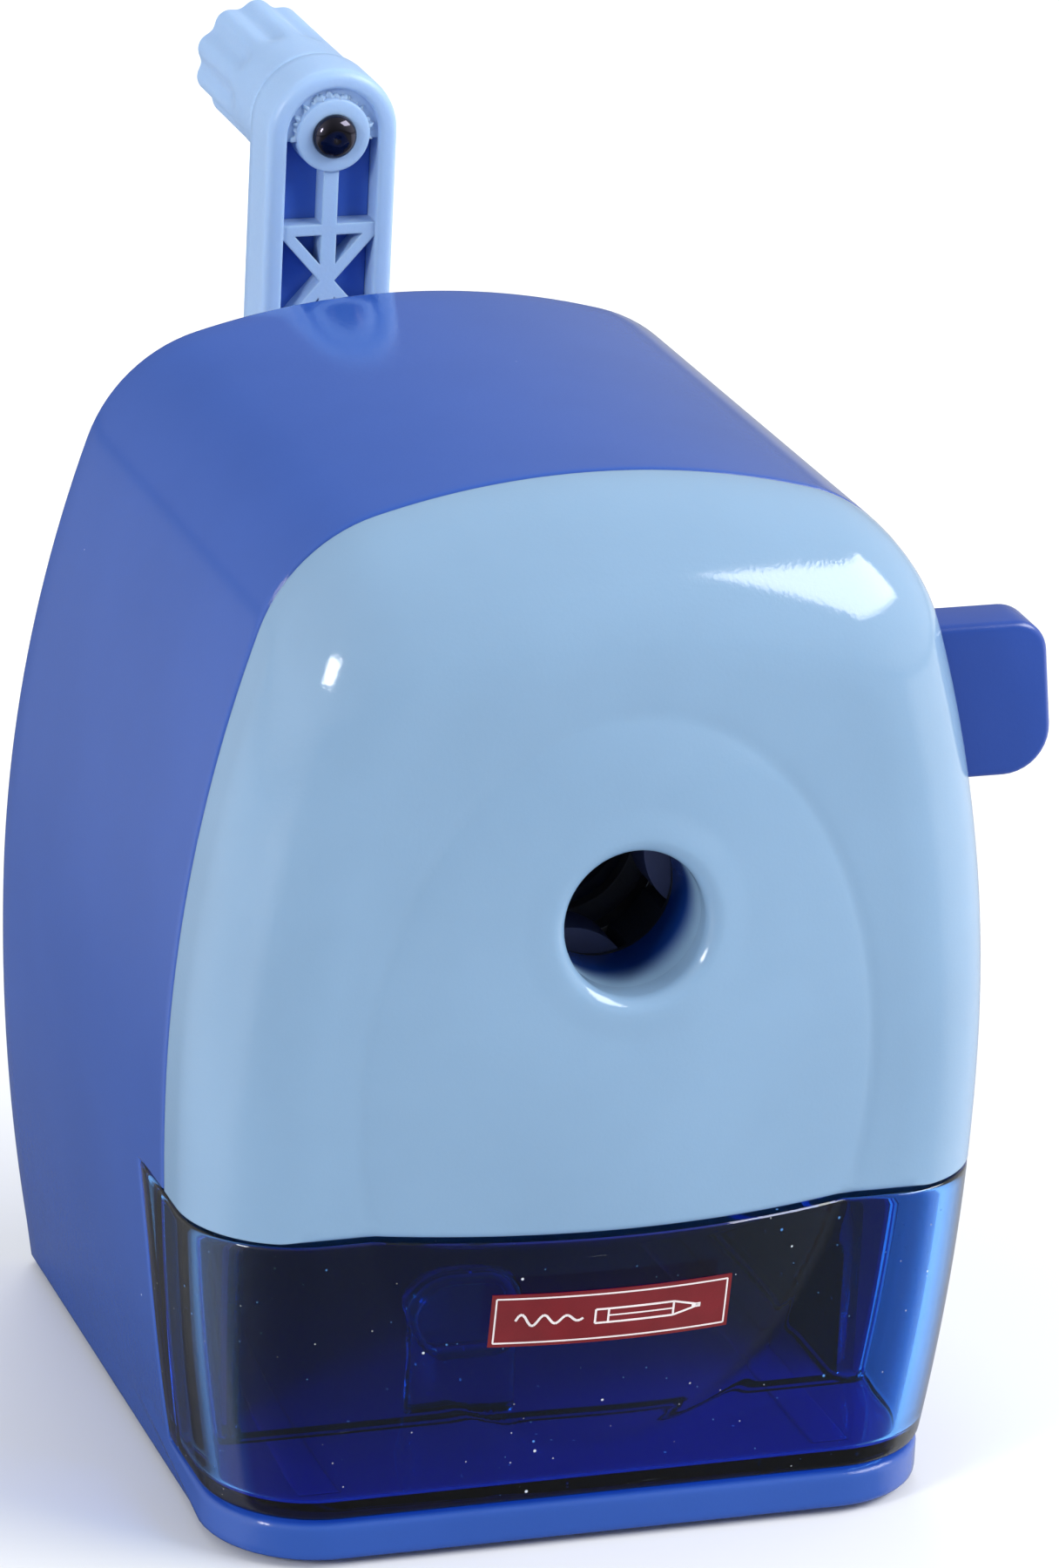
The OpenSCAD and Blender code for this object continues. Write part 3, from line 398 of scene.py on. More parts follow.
def plastic(name, color, rough=0.25, soft=0.0, wave=0.15, grain=0.05, edge=0.25, coat=0.0,
            dust=0.0, edge_light=0.12, painted_shade=None):
    """Moulded plastic: faint mottling, flow waviness, fine grain, paler worn edges and dust.

    The optional second colour paints shade in along Y; it comes with the depths along Y at which the painted shade
    starts and at which it is full.
    """
    s = Shader(name)
    base = linear(*color)
    darker = tuple(c * 0.955 for c in base[:3]) + (1,)
    lighter = tuple(min(1, c * 1.03 + 0.002) for c in base[:3]) + (1,)
    tone = s.mix(s.ramp(s.noise(35, 3), 0.35, 0.65), darker, lighter)
    tone = s.mix(s.ramp(s.noise(900, 2), 0.62, 0.75, 0, 0.10), tone, lighter)
    # Painted shade: the colour darkens along Y towards the second colour
    if painted_shade:
        depth = s.add("ShaderNodeSeparateXYZ", {"Vector": s.place.outputs["Object"]}).outputs["Y"]
        share = s.add("ShaderNodeMapRange", {"Value": depth, "From Min": painted_shade[1] * MM, "From Max": painted_shade[2] * MM},
                      interpolation_type="SMOOTHSTEP").outputs["Result"]
        tone = s.mix(share, tone, linear(*painted_shade[0]))
    normal = None
    if edge:
        rounded_edge = s.bevel(edge)
        normal = rounded_edge.outputs["Normal"]
        worn = s.math("MULTIPLY", s.edge_mask(rounded_edge), s.ramp(s.noise(700, 3), 0.35, 0.7))
        pale = tuple(min(1, c * 1.5 + 0.06) for c in base[:3]) + (1,)
        tone = s.mix(s.math("MULTIPLY", worn, edge_light), tone, pale)
    gloss = s.ramp(s.noise(60, 3), 0.3, 0.7, rough * 0.85, rough * 1.2)
    scuff = s.ramp(s.noise(260, 4, stretch=(1.0, 6.0, 1.4)), 0.66, 0.76, 0, 0.04)
    gloss = s.math("ADD", gloss, scuff)
    if dust:
        grains = s.specks(520, 0.07, dust)
        tone = s.mix(s.math("MULTIPLY", grains, 0.75), tone, (0.62, 0.68, 0.78, 1))
        gloss = s.math("ADD", gloss, s.math("MULTIPLY", grains, 0.5))
    height = s.math("ADD", s.math("MULTIPLY", s.noise(45, 2), wave), s.math("MULTIPLY", s.noise(2600, 3), grain))
    bump = s.add("ShaderNodeBump", {"Height": height, "Strength": 0.35, "Distance": 0.0006})
    if normal is not None:
        s.tree.links.new(normal, bump.inputs["Normal"])
    s.tree.links.new(tone, s.bsdf.inputs["Base Color"])
    s.tree.links.new(gloss, s.bsdf.inputs["Roughness"])
    s.tree.links.new(bump.outputs["Normal"], s.bsdf.inputs["Normal"])
    s.bsdf.inputs["IOR"].default_value = 1.5
    s.bsdf.inputs["Coat Weight"].default_value = coat
    s.bsdf.inputs["Coat Roughness"].default_value = 0.05
    if soft:
        s.bsdf.inputs["Subsurface Weight"].default_value = soft
        s.bsdf.inputs["Subsurface Radius"].default_value = (0.5, 0.8, 1.0)
        s.bsdf.inputs["Subsurface Scale"].default_value = 0.0016
    return s.material


def clear_plastic(name, tint, shadow_tint):
    """Tinted clear plastic with dust, hairline scratches and slightly uneven faces."""
    s = Shader(name)
    grains = s.specks(330, 0.06, 0.40)
    fine = s.specks(900, 0.09, 0.14)
    dust = s.math("MAXIMUM", grains, s.math("MULTIPLY", fine, 0.5))
    scratch = s.ramp(s.noise(90, 5, stretch=(1.0, 1.0, 26.0), roughness=0.7), 0.70, 0.72, 0, 1)
    scratch = s.math("MULTIPLY", scratch, s.ramp(s.noise(40, 1), 0.5, 0.62))
    marks = s.math("MAXIMUM", dust, s.math("MULTIPLY", scratch, 0.15))
    height = s.math("ADD", s.math("MULTIPLY", s.noise(55, 2), 0.2), s.math("MULTIPLY", marks, 0.05))
    bump = s.add("ShaderNodeBump", {"Height": height, "Strength": 0.25, "Distance": 0.0005})
    s.bsdf.inputs["Base Color"].default_value = linear(*tint)
    s.bsdf.inputs["Transmission Weight"].default_value = 1.0
    s.bsdf.inputs["IOR"].default_value = 1.49
    s.tree.links.new(s.ramp(s.noise(70, 3), 0.3, 0.7, 0.02, 0.06), s.bsdf.inputs["Roughness"])
    s.tree.links.new(bump.outputs["Normal"], s.bsdf.inputs["Normal"])
    grain = s.add("ShaderNodeBsdfDiffuse", {"Color": (0.72, 0.78, 0.88, 1)})
    clear = s.add("ShaderNodeBsdfTransparent", {"Color": linear(*shadow_tint)})
    rays = s.add("ShaderNodeLightPath")
    body = s.add("ShaderNodeMixShader")
    s.tree.links.new(s.math("MULTIPLY", marks, 0.8), body.inputs[0])
    s.tree.links.new(s.bsdf.outputs["BSDF"], body.inputs[1])
    s.tree.links.new(grain.outputs["BSDF"], body.inputs[2])
    through = s.add("ShaderNodeMixShader")
    shade = s.math("MAXIMUM", rays.outputs["Is Shadow Ray"], rays.outputs["Is Diffuse Ray"])
    s.tree.links.new(shade, through.inputs[0])
    s.tree.links.new(body.outputs[0], through.inputs[1])
    s.tree.links.new(clear.outputs["BSDF"], through.inputs[2])
    s.tree.links.new(through.outputs[0], s.output.inputs["Surface"])
    return s.material


def metal(name, color, rough=0.25, brushed=0.0, edge=0.12):
    """Metal with turning marks round Y, small stains and bright rubbed edges."""
    s = Shader(name)
    base = linear(*color)
    dark = tuple(c * 0.72 for c in base[:3]) + (1,)
    tone = s.mix(s.ramp(s.noise(220, 4), 0.35, 0.7), dark, base)
    rounded_edge = s.bevel(edge)
    bright = tuple(min(1, c * 1.25 + 0.05) for c in base[:3]) + (1,)
    tone = s.mix(s.math("MULTIPLY", s.edge_mask(rounded_edge), 0.7), tone, bright)
    gloss = s.ramp(s.noise(180, 4), 0.3, 0.7, rough * 0.75, rough * 1.35)
    lines = s.noise(90, 3, stretch=(1.0, 30.0, 1.0))
    height = s.math("ADD", s.math("MULTIPLY", lines, brushed), s.math("MULTIPLY", s.noise(1800, 2), 0.05))
    bump = s.add("ShaderNodeBump", {"Height": height, "Strength": 0.3, "Distance": 0.0003})
    s.tree.links.new(rounded_edge.outputs["Normal"], bump.inputs["Normal"])
    s.tree.links.new(tone, s.bsdf.inputs["Base Color"])
    s.tree.links.new(gloss, s.bsdf.inputs["Roughness"])
    s.tree.links.new(bump.outputs["Normal"], s.bsdf.inputs["Normal"])
    s.bsdf.inputs["Metallic"].default_value = 1.0
    return s.material


def printed(name, color, rough=0.35):
    """Printed film: faint ink grain and a soft sheen."""
    s = Shader(name)
    base = linear(*color)
    dark = tuple(c * 0.82 for c in base[:3]) + (1,)
    tone = s.mix(s.ramp(s.noise(300, 3), 0.3, 0.7), dark, base)
    tone = s.mix(s.ramp(s.noise(6000, 2), 0.4, 0.7, 0, 0.12), tone, tuple(min(1, c * 1.5) for c in base[:3]) + (1,))
    bump = s.add("ShaderNodeBump", {"Height": s.noise(1500, 3), "Strength": 0.08, "Distance": 0.0002})
    s.tree.links.new(tone, s.bsdf.inputs["Base Color"])
    s.tree.links.new(bump.outputs["Normal"], s.bsdf.inputs["Normal"])
    s.tree.links.new(s.ramp(s.noise(120, 2), 0.3, 0.7, rough * 0.8, rough * 1.2), s.bsdf.inputs["Roughness"])
    return s.material


def rubber(name):
    s = Shader(name)
    tone = s.mix(s.ramp(s.noise(500, 4), 0.3, 0.7), (0.010, 0.010, 0.011, 1), (0.030, 0.030, 0.032, 1))
    bump = s.add("ShaderNodeBump", {"Height": s.noise(3500, 4), "Strength": 0.4, "Distance": 0.0002})
    s.tree.links.new(tone, s.bsdf.inputs["Base Color"])
    s.tree.links.new(bump.outputs["Normal"], s.bsdf.inputs["Normal"])
    s.tree.links.new(s.ramp(s.noise(200, 2), 0.3, 0.7, 0.6, 0.8), s.bsdf.inputs["Roughness"])
    return s.material


PALE = (129, 160, 190)
finishes = {
    "body_blue": plastic("body_blue", (47, 84, 165), rough=0.07, soft=0.10, wave=0.03, edge=0.35, dust=0.010),
    "pale_blue": plastic("pale_blue", PALE, rough=0.08, soft=0.20, wave=0.04, edge=0.3),
    "clear_blue": clear_plastic("clear_blue", (98, 168, 240), (165, 208, 247)),
    "arm_blue": plastic("arm_blue", (156, 187, 226), rough=0.34, soft=0.25, wave=0.25, grain=0.12, edge=0.25),
    "deep_blue": plastic("deep_blue", (36, 70, 152), rough=0.20, wave=0.06, edge=0.3),
    # A paler copy of deep_blue with painted light, brightening the arm's back cover that lies in the shade of its deep
    # hollow
    "cover_painted_light": plastic("cover_painted_light", (70, 112, 205), rough=0.30, soft=0.3, wave=0.06, edge=0.2),
    "label_red": printed("label_red", (120, 14, 26), rough=0.45),
    "label_ink": printed("label_ink", (236, 226, 226)),
    "dark_plastic": plastic("dark_plastic", (40, 44, 54), rough=0.42, grain=0.15, edge=0.2, edge_light=0.2),
    # A lighter, bluer copy of dark_plastic with painted light, for the jaws that sit in shade deep in the pencil hole
    "jaw_painted_light": plastic("jaw_painted_light", (70, 80, 120), rough=0.35, grain=0.12, edge=0.15),
    "grey_plastic": plastic("grey_plastic", (84, 88, 98), rough=0.45, grain=0.2, edge=0.25, edge_light=0.2),
    "nylon": plastic("nylon", (222, 220, 208), rough=0.42, soft=0.3, grain=0.12, edge=0.2),
    "steel": metal("steel", (205, 205, 208), rough=0.20, brushed=0.3),
    "spring_steel": metal("spring_steel", (170, 170, 176), rough=0.28, edge=0.05),
    "bronze": metal("bronze", (196, 158, 96), rough=0.38, brushed=0.2),
    "zinc": metal("zinc", (172, 175, 180), rough=0.42),
    "tool_steel": metal("tool_steel", (120, 122, 128), rough=0.24, brushed=0.5, edge=0.08),
    "pin_steel": metal("pin_steel", (66, 64, 74), rough=0.10, edge=0.1),
    "foot_rubber": rubber("foot_rubber"),
}


# ---- Face plate ----
def outline_ring(ts, tt, zb, y, bottom=44):
    """A closed outline: up the right side, over the crown, down the left and back along the foot."""
    right = half_outline(ts, tt, zb)
    left = right[-2::-1] * (-1, 1)
    x = np.linspace(left[-1][0], right[0][0], bottom + 2)[1:-1]
    foot = np.column_stack([x, np.full(bottom, zb)])
    o = np.concatenate([right, left, foot])
    return np.column_stack([o[:, 0], np.full(len(o), float(y)), o[:, 1]])


def face_plate():
    hole_r = 7.0
    lip_r = 1.5
    blend_r = 11.5
    tube_r = 9.0
    y_tube = Y_FRONT + 7.5
    foot_r = 0.8
    rim_r = 0.35
    front = outline_ring(EDGE_R, CROWN_R, PLATE_Z + foot_r, Y_FRONT)
    n = len(front)
    away = front[:, [0, 2]] - (0, PENCIL_Z)
    reach = np.linalg.norm(away, axis=1)
    way = away / reach[:, None]

    def circle(r, y):
        return np.column_stack([way[:, 0] * r, np.zeros(n) + y, PENCIL_Z + way[:, 1] * r])

    def on_front(r):
        """Points at distances r from the hole's axis, on the domed front and the hole's low lip."""
        x, z = way[:, 0] * r, PENCIL_Z + way[:, 1] * r
        lip = 0.28 * (1 - smooth((r - hole_r - lip_r) / (blend_r - hole_r - lip_r)))
        return np.column_stack([x, Y_FRONT - dome(x, z) - lip, z])

    # Distance along each line at which it crosses the dome's crease
    a = (way[:, 0] / DOME_A) ** 2 + (way[:, 1] / DOME_B) ** 2
    lift = PENCIL_Z - DOME_Z
    b = 2 * way[:, 1] * lift / DOME_B ** 2
    c = (lift / DOME_B) ** 2 - 1
    crease = (-b + np.sqrt(b * b - 4 * a * c)) / (2 * a)
    inner_end = np.minimum(crease - 1.5, reach * 0.97)
    outer_start = np.minimum(crease + 1.5, reach * 0.985)

    rings = [circle(hole_r + 0.4, y_tube), circle(hole_r, y_tube - 0.4)]
    y_edge = on_front(np.full(n, hole_r + lip_r))[:, 1]
    y_torus = y_edge + lip_r
    for k in range(1, 8):
        rings.append(circle(hole_r, y_tube - 0.4 + (y_torus - y_tube + 0.4) * k / 7))
    for k in range(1, 12):
        t = math.pi / 2 * k / 12
        rings.append(circle(hole_r + lip_r * (1 - math.cos(t)), y_torus - lip_r * math.sin(t)))
    for k in range(10):
        rings.append(on_front(np.full(n, hole_r + lip_r + (blend_r - hole_r - lip_r) * k / 9)))
    for k in range(1, 13):
        rings.append(on_front(blend_r + (inner_end - blend_r) * k / 12))
    for k in range(1, 17):
        rings.append(on_front(inner_end + (outer_start - inner_end) * k / 16))
    for k in range(1, 9):
        rings.append(on_front(outer_start + (reach - outer_start) * k / 8))
    steps = 26
    for k in range(1, steps + 1):
        u = CROWN_R * (1 - math.cos(math.pi / 2 * k / steps)) if k < steps else CROWN_R
        ring = outline_ring(roll(EDGE_R, u), roll(CROWN_R, u), PLATE_Z + roll(foot_r, u), 0)
        ring[:, 1] = Y_FRONT + u - dome(ring[:, 0], ring[:, 2]) * (1 - u / PLATE_D)
        rings.append(ring)
    for k in range(4):
        t = math.pi / 2 * k / 3
        e = rim_r * (1 - math.cos(t))
        rings.append(outline_ring(e, e, PLATE_Z + e, Y_SEAM - rim_r * (1 - math.sin(t))))
    inner_foot = 1.6
    for k in range(4):
        t = math.pi / 2 * k / 3
        e = rim_r * (1 - math.sin(t))
        rings.append(outline_ring(WALL - e, WALL - e, PLATE_Z + inner_foot - e * 0.5,
                                  Y_SEAM - rim_r * (1 - math.cos(t))))
    for k in range(14, -1, -1):
        u = (CROWN_R - WALL) * (1 - math.cos(math.pi / 2 * k / 14))
        ring = outline_ring(WALL + roll(EDGE_R - WALL, u), WALL + roll(CROWN_R - WALL, u),
                            PLATE_Z + inner_foot, 0)
        share = 1 - u / (PLATE_D - WALL)
        ring[:, 1] = Y_FRONT + WALL + u - dome(ring[:, 0], ring[:, 2]) * share
        rings.append(ring)
    last = rings[-1][:, [0, 2]] - (0, PENCIL_Z)
    for k in range(1, 9):
        r = np.linalg.norm(last, axis=1) * (1 - k / 8) + (tube_r + 0.6) * k / 8
        x, z = way[:, 0] * r, PENCIL_Z + way[:, 1] * r
        rings.append(np.column_stack([x, Y_FRONT + WALL - dome(x, z), z]))
    rings.append(circle(tube_r, Y_FRONT + WALL - 1.0))
    rings.append(circle(tube_r, y_tube - 0.3))
    rings.append(circle(tube_r - 0.3, y_tube))
    obj = mesh_object("front_shell", [skin(rings, loop=True)])
    # Slot for the release button in the rear rim
    slot = mesh_object("slot_tool", [box_solid(
        (20, button_lo[1] - 0.25, button_lo[2] - 0.4), (80, Y_SEAM + 3, button_hi[2] + 0.4), 0.2)])
    combine(obj, slot, "DIFFERENCE")
    place(obj, "feed_carriage", finishes["pale_blue"], ["face_plate"])
    # Sockets behind the plate for the guide rods and the clamp's posts
    rods_lo, rods_hi = node_box("guide_rods")
    rod_x, rod_z = rods_hi[0] - 2, (rods_lo[2] + rods_hi[2]) / 2
    ears_hi = node_box("plate_screws")[1]
    ear_x = ears_hi[0] - 2.3
    posts = []
    for s in (-1, 1):
        posts.append(lathe([(2.05, Y_FRONT + 9), (2.05, Y_FRONT + 3), (4.7, Y_FRONT + 1.2), (4.5, Y_FRONT + 8.6),
                            (4.1, Y_FRONT + 9)], (s * rod_x, rod_z), 48))
        posts.append(lathe([(1.25, y_tube + 0.1), (1.25, Y_FRONT + 3), (3.4, Y_FRONT + 1.2), (3.2, y_tube - 0.2),
                            (2.9, y_tube + 0.1)], (s * ear_x, PENCIL_Z), 40))
    place(mesh_object("front_shell_posts", posts), "feed_carriage", finishes["pale_blue"])
    # Sheet over the hole's wall that carries painted shade, darkening it inwards
    y_in = float(y_edge.max()) + lip_r + 0.3
    shade_sheet = lathe([(hole_r - 0.02, y_in + 0.2), (hole_r - 0.02, y_tube - 0.1), (hole_r + 0.3, y_tube - 0.1),
                    (hole_r + 0.3, y_in + 0.2), (hole_r + 0.02, y_in)], (0, PENCIL_Z), 128)
    # Painted shade: deep blue from just inside the lip, full 4.6 mm in, where the hole lies in shade
    painted_shade = ((16, 52, 122), y_in + 0.4, y_in + 4.6)
    blue = plastic("hole_shade_blue", PALE, rough=0.2, soft=0.2, wave=0.05, edge=0, painted_shade=painted_shade)
    place(mesh_object("hole_shade_layer", [shade_sheet]), "feed_carriage", blue)


# ---- Housing ----
LIP_Z = 4.6
FOOT_Z = 0.8
DRAWER_Z = drawer_lo[2]
WRAP_D = 21.2
WRAP_FLARE = 3.0


def wrap_at(z):
    return WRAP_D + WRAP_FLARE * ((np.asarray(z) - DRAWER_Z) / (PLATE_Z - DRAWER_Z)) ** 4


def draft(points):
    """Narrows the body slightly towards its back wall."""
    p = np.array(points, float)
    share = np.clip((p[:, 1] - Y_SEAM) / (Y_BACK - Y_SEAM), 0, 1)
    scale = 1 - DRAFT * share
    p[:, 0] *= scale
    p[:, 2] = (p[:, 2] - FOOT_Z) * scale + FOOT_Z
    return p


def housing():
    rim_r = 0.4
    lip_r = 0.55
    back_r = 1.3
    foot_r = 0.6
    boss_r = 9.0
    boss_l = 11.8
    bush_r = 5.0
    y_rim = Y_SEAM + 0.2
    rows = 30
    wall_rows = 10
    n_front, n_corner, n_notch, n_top = 14, 12, 16, 6

    # Columns of the right half, from the lip's middle round the side and up to the crown
    z_notch = np.linspace(LIP_Z + 0.15, PLATE_Z - 0.5, n_notch)
    turn = np.linspace(0, math.pi / 2, n_top + 1)[1:]
    z_top = PLATE_Z - 0.5 + 0.5 * np.sin(turn)
    y_top_start = Y_FRONT + float(wrap_at(PLATE_Z - 0.5))
    y_top = y_rim + (y_top_start - y_rim) * np.cos(turn)
    upper = half_outline(0, 0, PLATE_Z + 0.12)
    upper_in = half_outline(WALL, WALL, PLATE_Z + 0.12)

    def side_column(x_out, x_in, z_out, z_in, y0):
        """Outer path from the rim to the back edge, and inner path from the back to the rim."""
        out, t = [], []
        for k in range(5):
            a = math.pi / 2 * k / 4
            out.append((rim_r * (1 - math.sin(a)), y0 + rim_r * (1 - math.cos(a))))
        for k in range(1, rows - 4):
            f = k / (rows - 5)
            out.append((0, y0 + rim_r + (Y_BACK - back_r - y0 - rim_r) * f ** 1.3))
        outer = []
        toward = np.array([x_in - x_out, z_in - z_out]) / WALL
        for inward, y in out:
            outer.append((x_out + toward[0] * inward, y, z_out + toward[1] * inward))
        inner = []
        for k in range(rows):
            f = k / (rows - 1)
            y = Y_BACK - WALL - 0.8 + (y0 + rim_r - Y_BACK + WALL + 0.8) * f
            inner.append((x_in, y, z_in))
        inner.append((x_in - toward[0] * rim_r, y0, z_in - toward[1] * rim_r))
        return np.array(outer), np.array(inner)

    def lip_column(x, y, nx, ny):
        """Path down the base's front wall and back along its underside; (nx, ny) points outwards."""
        outer = []
        for k in range(5):
            a = math.pi / 2 * k / 4
            d = lip_r * (1 - math.sin(a))
            outer.append((x - nx * d, y - ny * d, LIP_Z - lip_r * (1 - math.cos(a))))
        for k in range(1, wall_rows - 4):
            f = k / (wall_rows - 4)
            outer.append((x, y, LIP_Z - lip_r + (FOOT_Z + foot_r - LIP_Z + lip_r) * f))
        for k in range(4):
            a = math.pi / 2 * k / 3
            d = foot_r * (1 - math.cos(a))
            outer.append((x - nx * d, y - ny * d, FOOT_Z + foot_r * (1 - math.sin(a))))
        start = np.array(outer[-1])
        left = rows - len(outer)
        for k in range(1, left + 1):
            f = k / left
            outer.append((start[0], start[1] + (Y_BACK - back_r - start[1]) * f, FOOT_Z))
        inner = []
        edge = np.array([x - nx * lip_r, y - ny * lip_r])
        for k in range(rows + 1):
            f = k / rows
            inner.append((edge[0] * (0.945 + 0.055 * f),
                          Y_BACK - WALL - 0.8 + (edge[1] - Y_BACK + WALL + 0.8) * f ** 1.0, LIP_Z))
        return np.array(outer), np.array(inner)

    half = float(side_x(LIP_Z))
    columns = []
    for x in np.linspace(0, half - EDGE_R, n_front):
        columns.append(lip_column(x, Y_FRONT, 0, -1))
    for k in range(1, n_corner + 1):
        a = math.pi / 2 * k / n_corner
        nx, ny = math.sin(a), -math.cos(a)
        columns.append(lip_column(half - EDGE_R + EDGE_R * nx, Y_FRONT + EDGE_R + EDGE_R * ny, nx, ny))
    first_side = []
    for z in z_notch:
        first_side.append(side_column(float(side_x(z)), float(side_x(z, WALL)), z, z, Y_FRONT + float(wrap_at(z))))
    for k in range(1, 4):
        a, b = columns[n_front + n_corner - 1], first_side[0]
        columns.append(tuple(a[i] * (1 - k / 4) + b[i] * k / 4 for i in (0, 1)))
    columns += first_side
    for z, y in zip(z_top, y_top):
        columns.append(side_column(float(side_x(z)), float(side_x(z, WALL)), z, z, y))
    for p, q in zip(upper, upper_in):
        columns.append(side_column(p[0], q[0], p[1], q[1], y_rim))
    half_count = len(columns)
    mirror = [(o * (-1, 1, 1), i * (-1, 1, 1)) for o, i in columns[-2:0:-1]]
    columns += mirror
    outer = np.array([c[0] for c in columns])
    inner = np.array([c[1] for c in columns])
    rings = [draft(outer[:, k]) for k in range(rows)]

    # Back edge, back wall, boss and bore
    edge = rings[-1]
    centre = np.array([0, PENCIL_Z])
    flat = edge[:, [0, 2]]
    middle = (flat.max(0) + flat.min(0)) / 2
    direction = (middle - flat) / ((flat.max(0) - flat.min(0)) / 2)
    for k in range(1, 7):
        a = math.pi / 2 * k / 6
        p = flat + direction * back_r * (1 - math.cos(a))
        rings.append(np.column_stack([p[:, 0], np.full(len(p), Y_BACK - back_r * (1 - math.sin(a))), p[:, 1]]))
    start = rings[-1][:, [0, 2]]
    away = start - centre
    reach = np.linalg.norm(away, axis=1)
    way = away / reach[:, None]

    def ring_at(r, y):
        p = centre + way * (r[:, None] if hasattr(r, "__len__") else r)
        return np.column_stack([p[:, 0], np.full(len(p), y), p[:, 1]])

    for k in range(1, 8):
        rings.append(ring_at(reach + (boss_r + 1.2 - reach) * (k / 8) ** 1.2, Y_BACK))
    for k in range(5):
        a = math.pi / 2 * k / 4
        rings.append(ring_at(boss_r + 1.0 * (1 - math.sin(a)), Y_BACK + 1.0 * (1 - math.cos(a))))
    rings.append(ring_at(boss_r, Y_BACK + boss_l - 0.5))
    for k in range(1, 4):
        a = math.pi / 2 * k / 3
        rings.append(ring_at(boss_r - 0.5 * (1 - math.cos(a)), Y_BACK + boss_l - 0.5 * (1 - math.sin(a))))
    rings.append(ring_at(bush_r + 0.3, Y_BACK + boss_l))
    rings.append(ring_at(bush_r, Y_BACK + boss_l - 0.3))
    rings.append(ring_at(bush_r, Y_BACK - WALL))
    inside = draft(inner[:, 0])
    in_flat = inside[:, [0, 2]] - centre
    in_reach = np.linalg.norm(in_flat, axis=1)
    in_way = in_flat / in_reach[:, None]
    for k in range(1, 7):
        r = bush_r + (in_reach - 0.8 - bush_r) * k / 6
        p = centre + in_way * r[:, None]
        rings.append(np.column_stack([p[:, 0], np.full(len(p), Y_BACK - WALL), p[:, 1]]))
    rings += [draft(inner[:, k]) for k in range(inner.shape[1])]
    obj = mesh_object("outer_shell", [skin(rings, loop=True)])
    place(obj, "body", finishes["body_blue"], ["housing"])

    # Gussets of the boss, and the drawer's runners and guide ribs
    extras = []
    for quarter in range(4):
        a = math.radians(45 + 90 * quarter)
        u, v = np.array([math.cos(a), math.sin(a)]), np.array([-math.sin(a), math.cos(a)])
        rings = []
        for y, r in ((Y_BACK - 0.5, 14.2), (Y_BACK + 0.4, 13.2), (Y_BACK + 4, 10.8), (Y_BACK + 8, 9.6), (Y_BACK + 8.6, 9.0)):
            corner = [centre + u * 8.4 - v * 0.9, centre + u * r - v * 0.75,
                      centre + u * r + v * 0.75, centre + u * 8.4 + v * 0.9]
            rings.append(np.array([(p[0], y, p[1]) for p in corner]))
        extras.append(skin(rings, caps=True))
    for s in (-1, 1):
        x = s * 26
        extras.append(box_solid((x - 2, Y_FRONT + 6, LIP_Z - 0.5), (x + 2, Y_BACK - 2.4, DRAWER_Z - 0.15)))
        x = s * 34.6
        extras.append(box_solid((x - 0.9, Y_FRONT + WRAP_D + 5, LIP_Z - 0.5), (x + 0.9, Y_BACK - 2.4, LIP_Z + 5)))
    place(mesh_object("outer_shell_ribs", extras), "body", finishes["body_blue"])
    return half_count


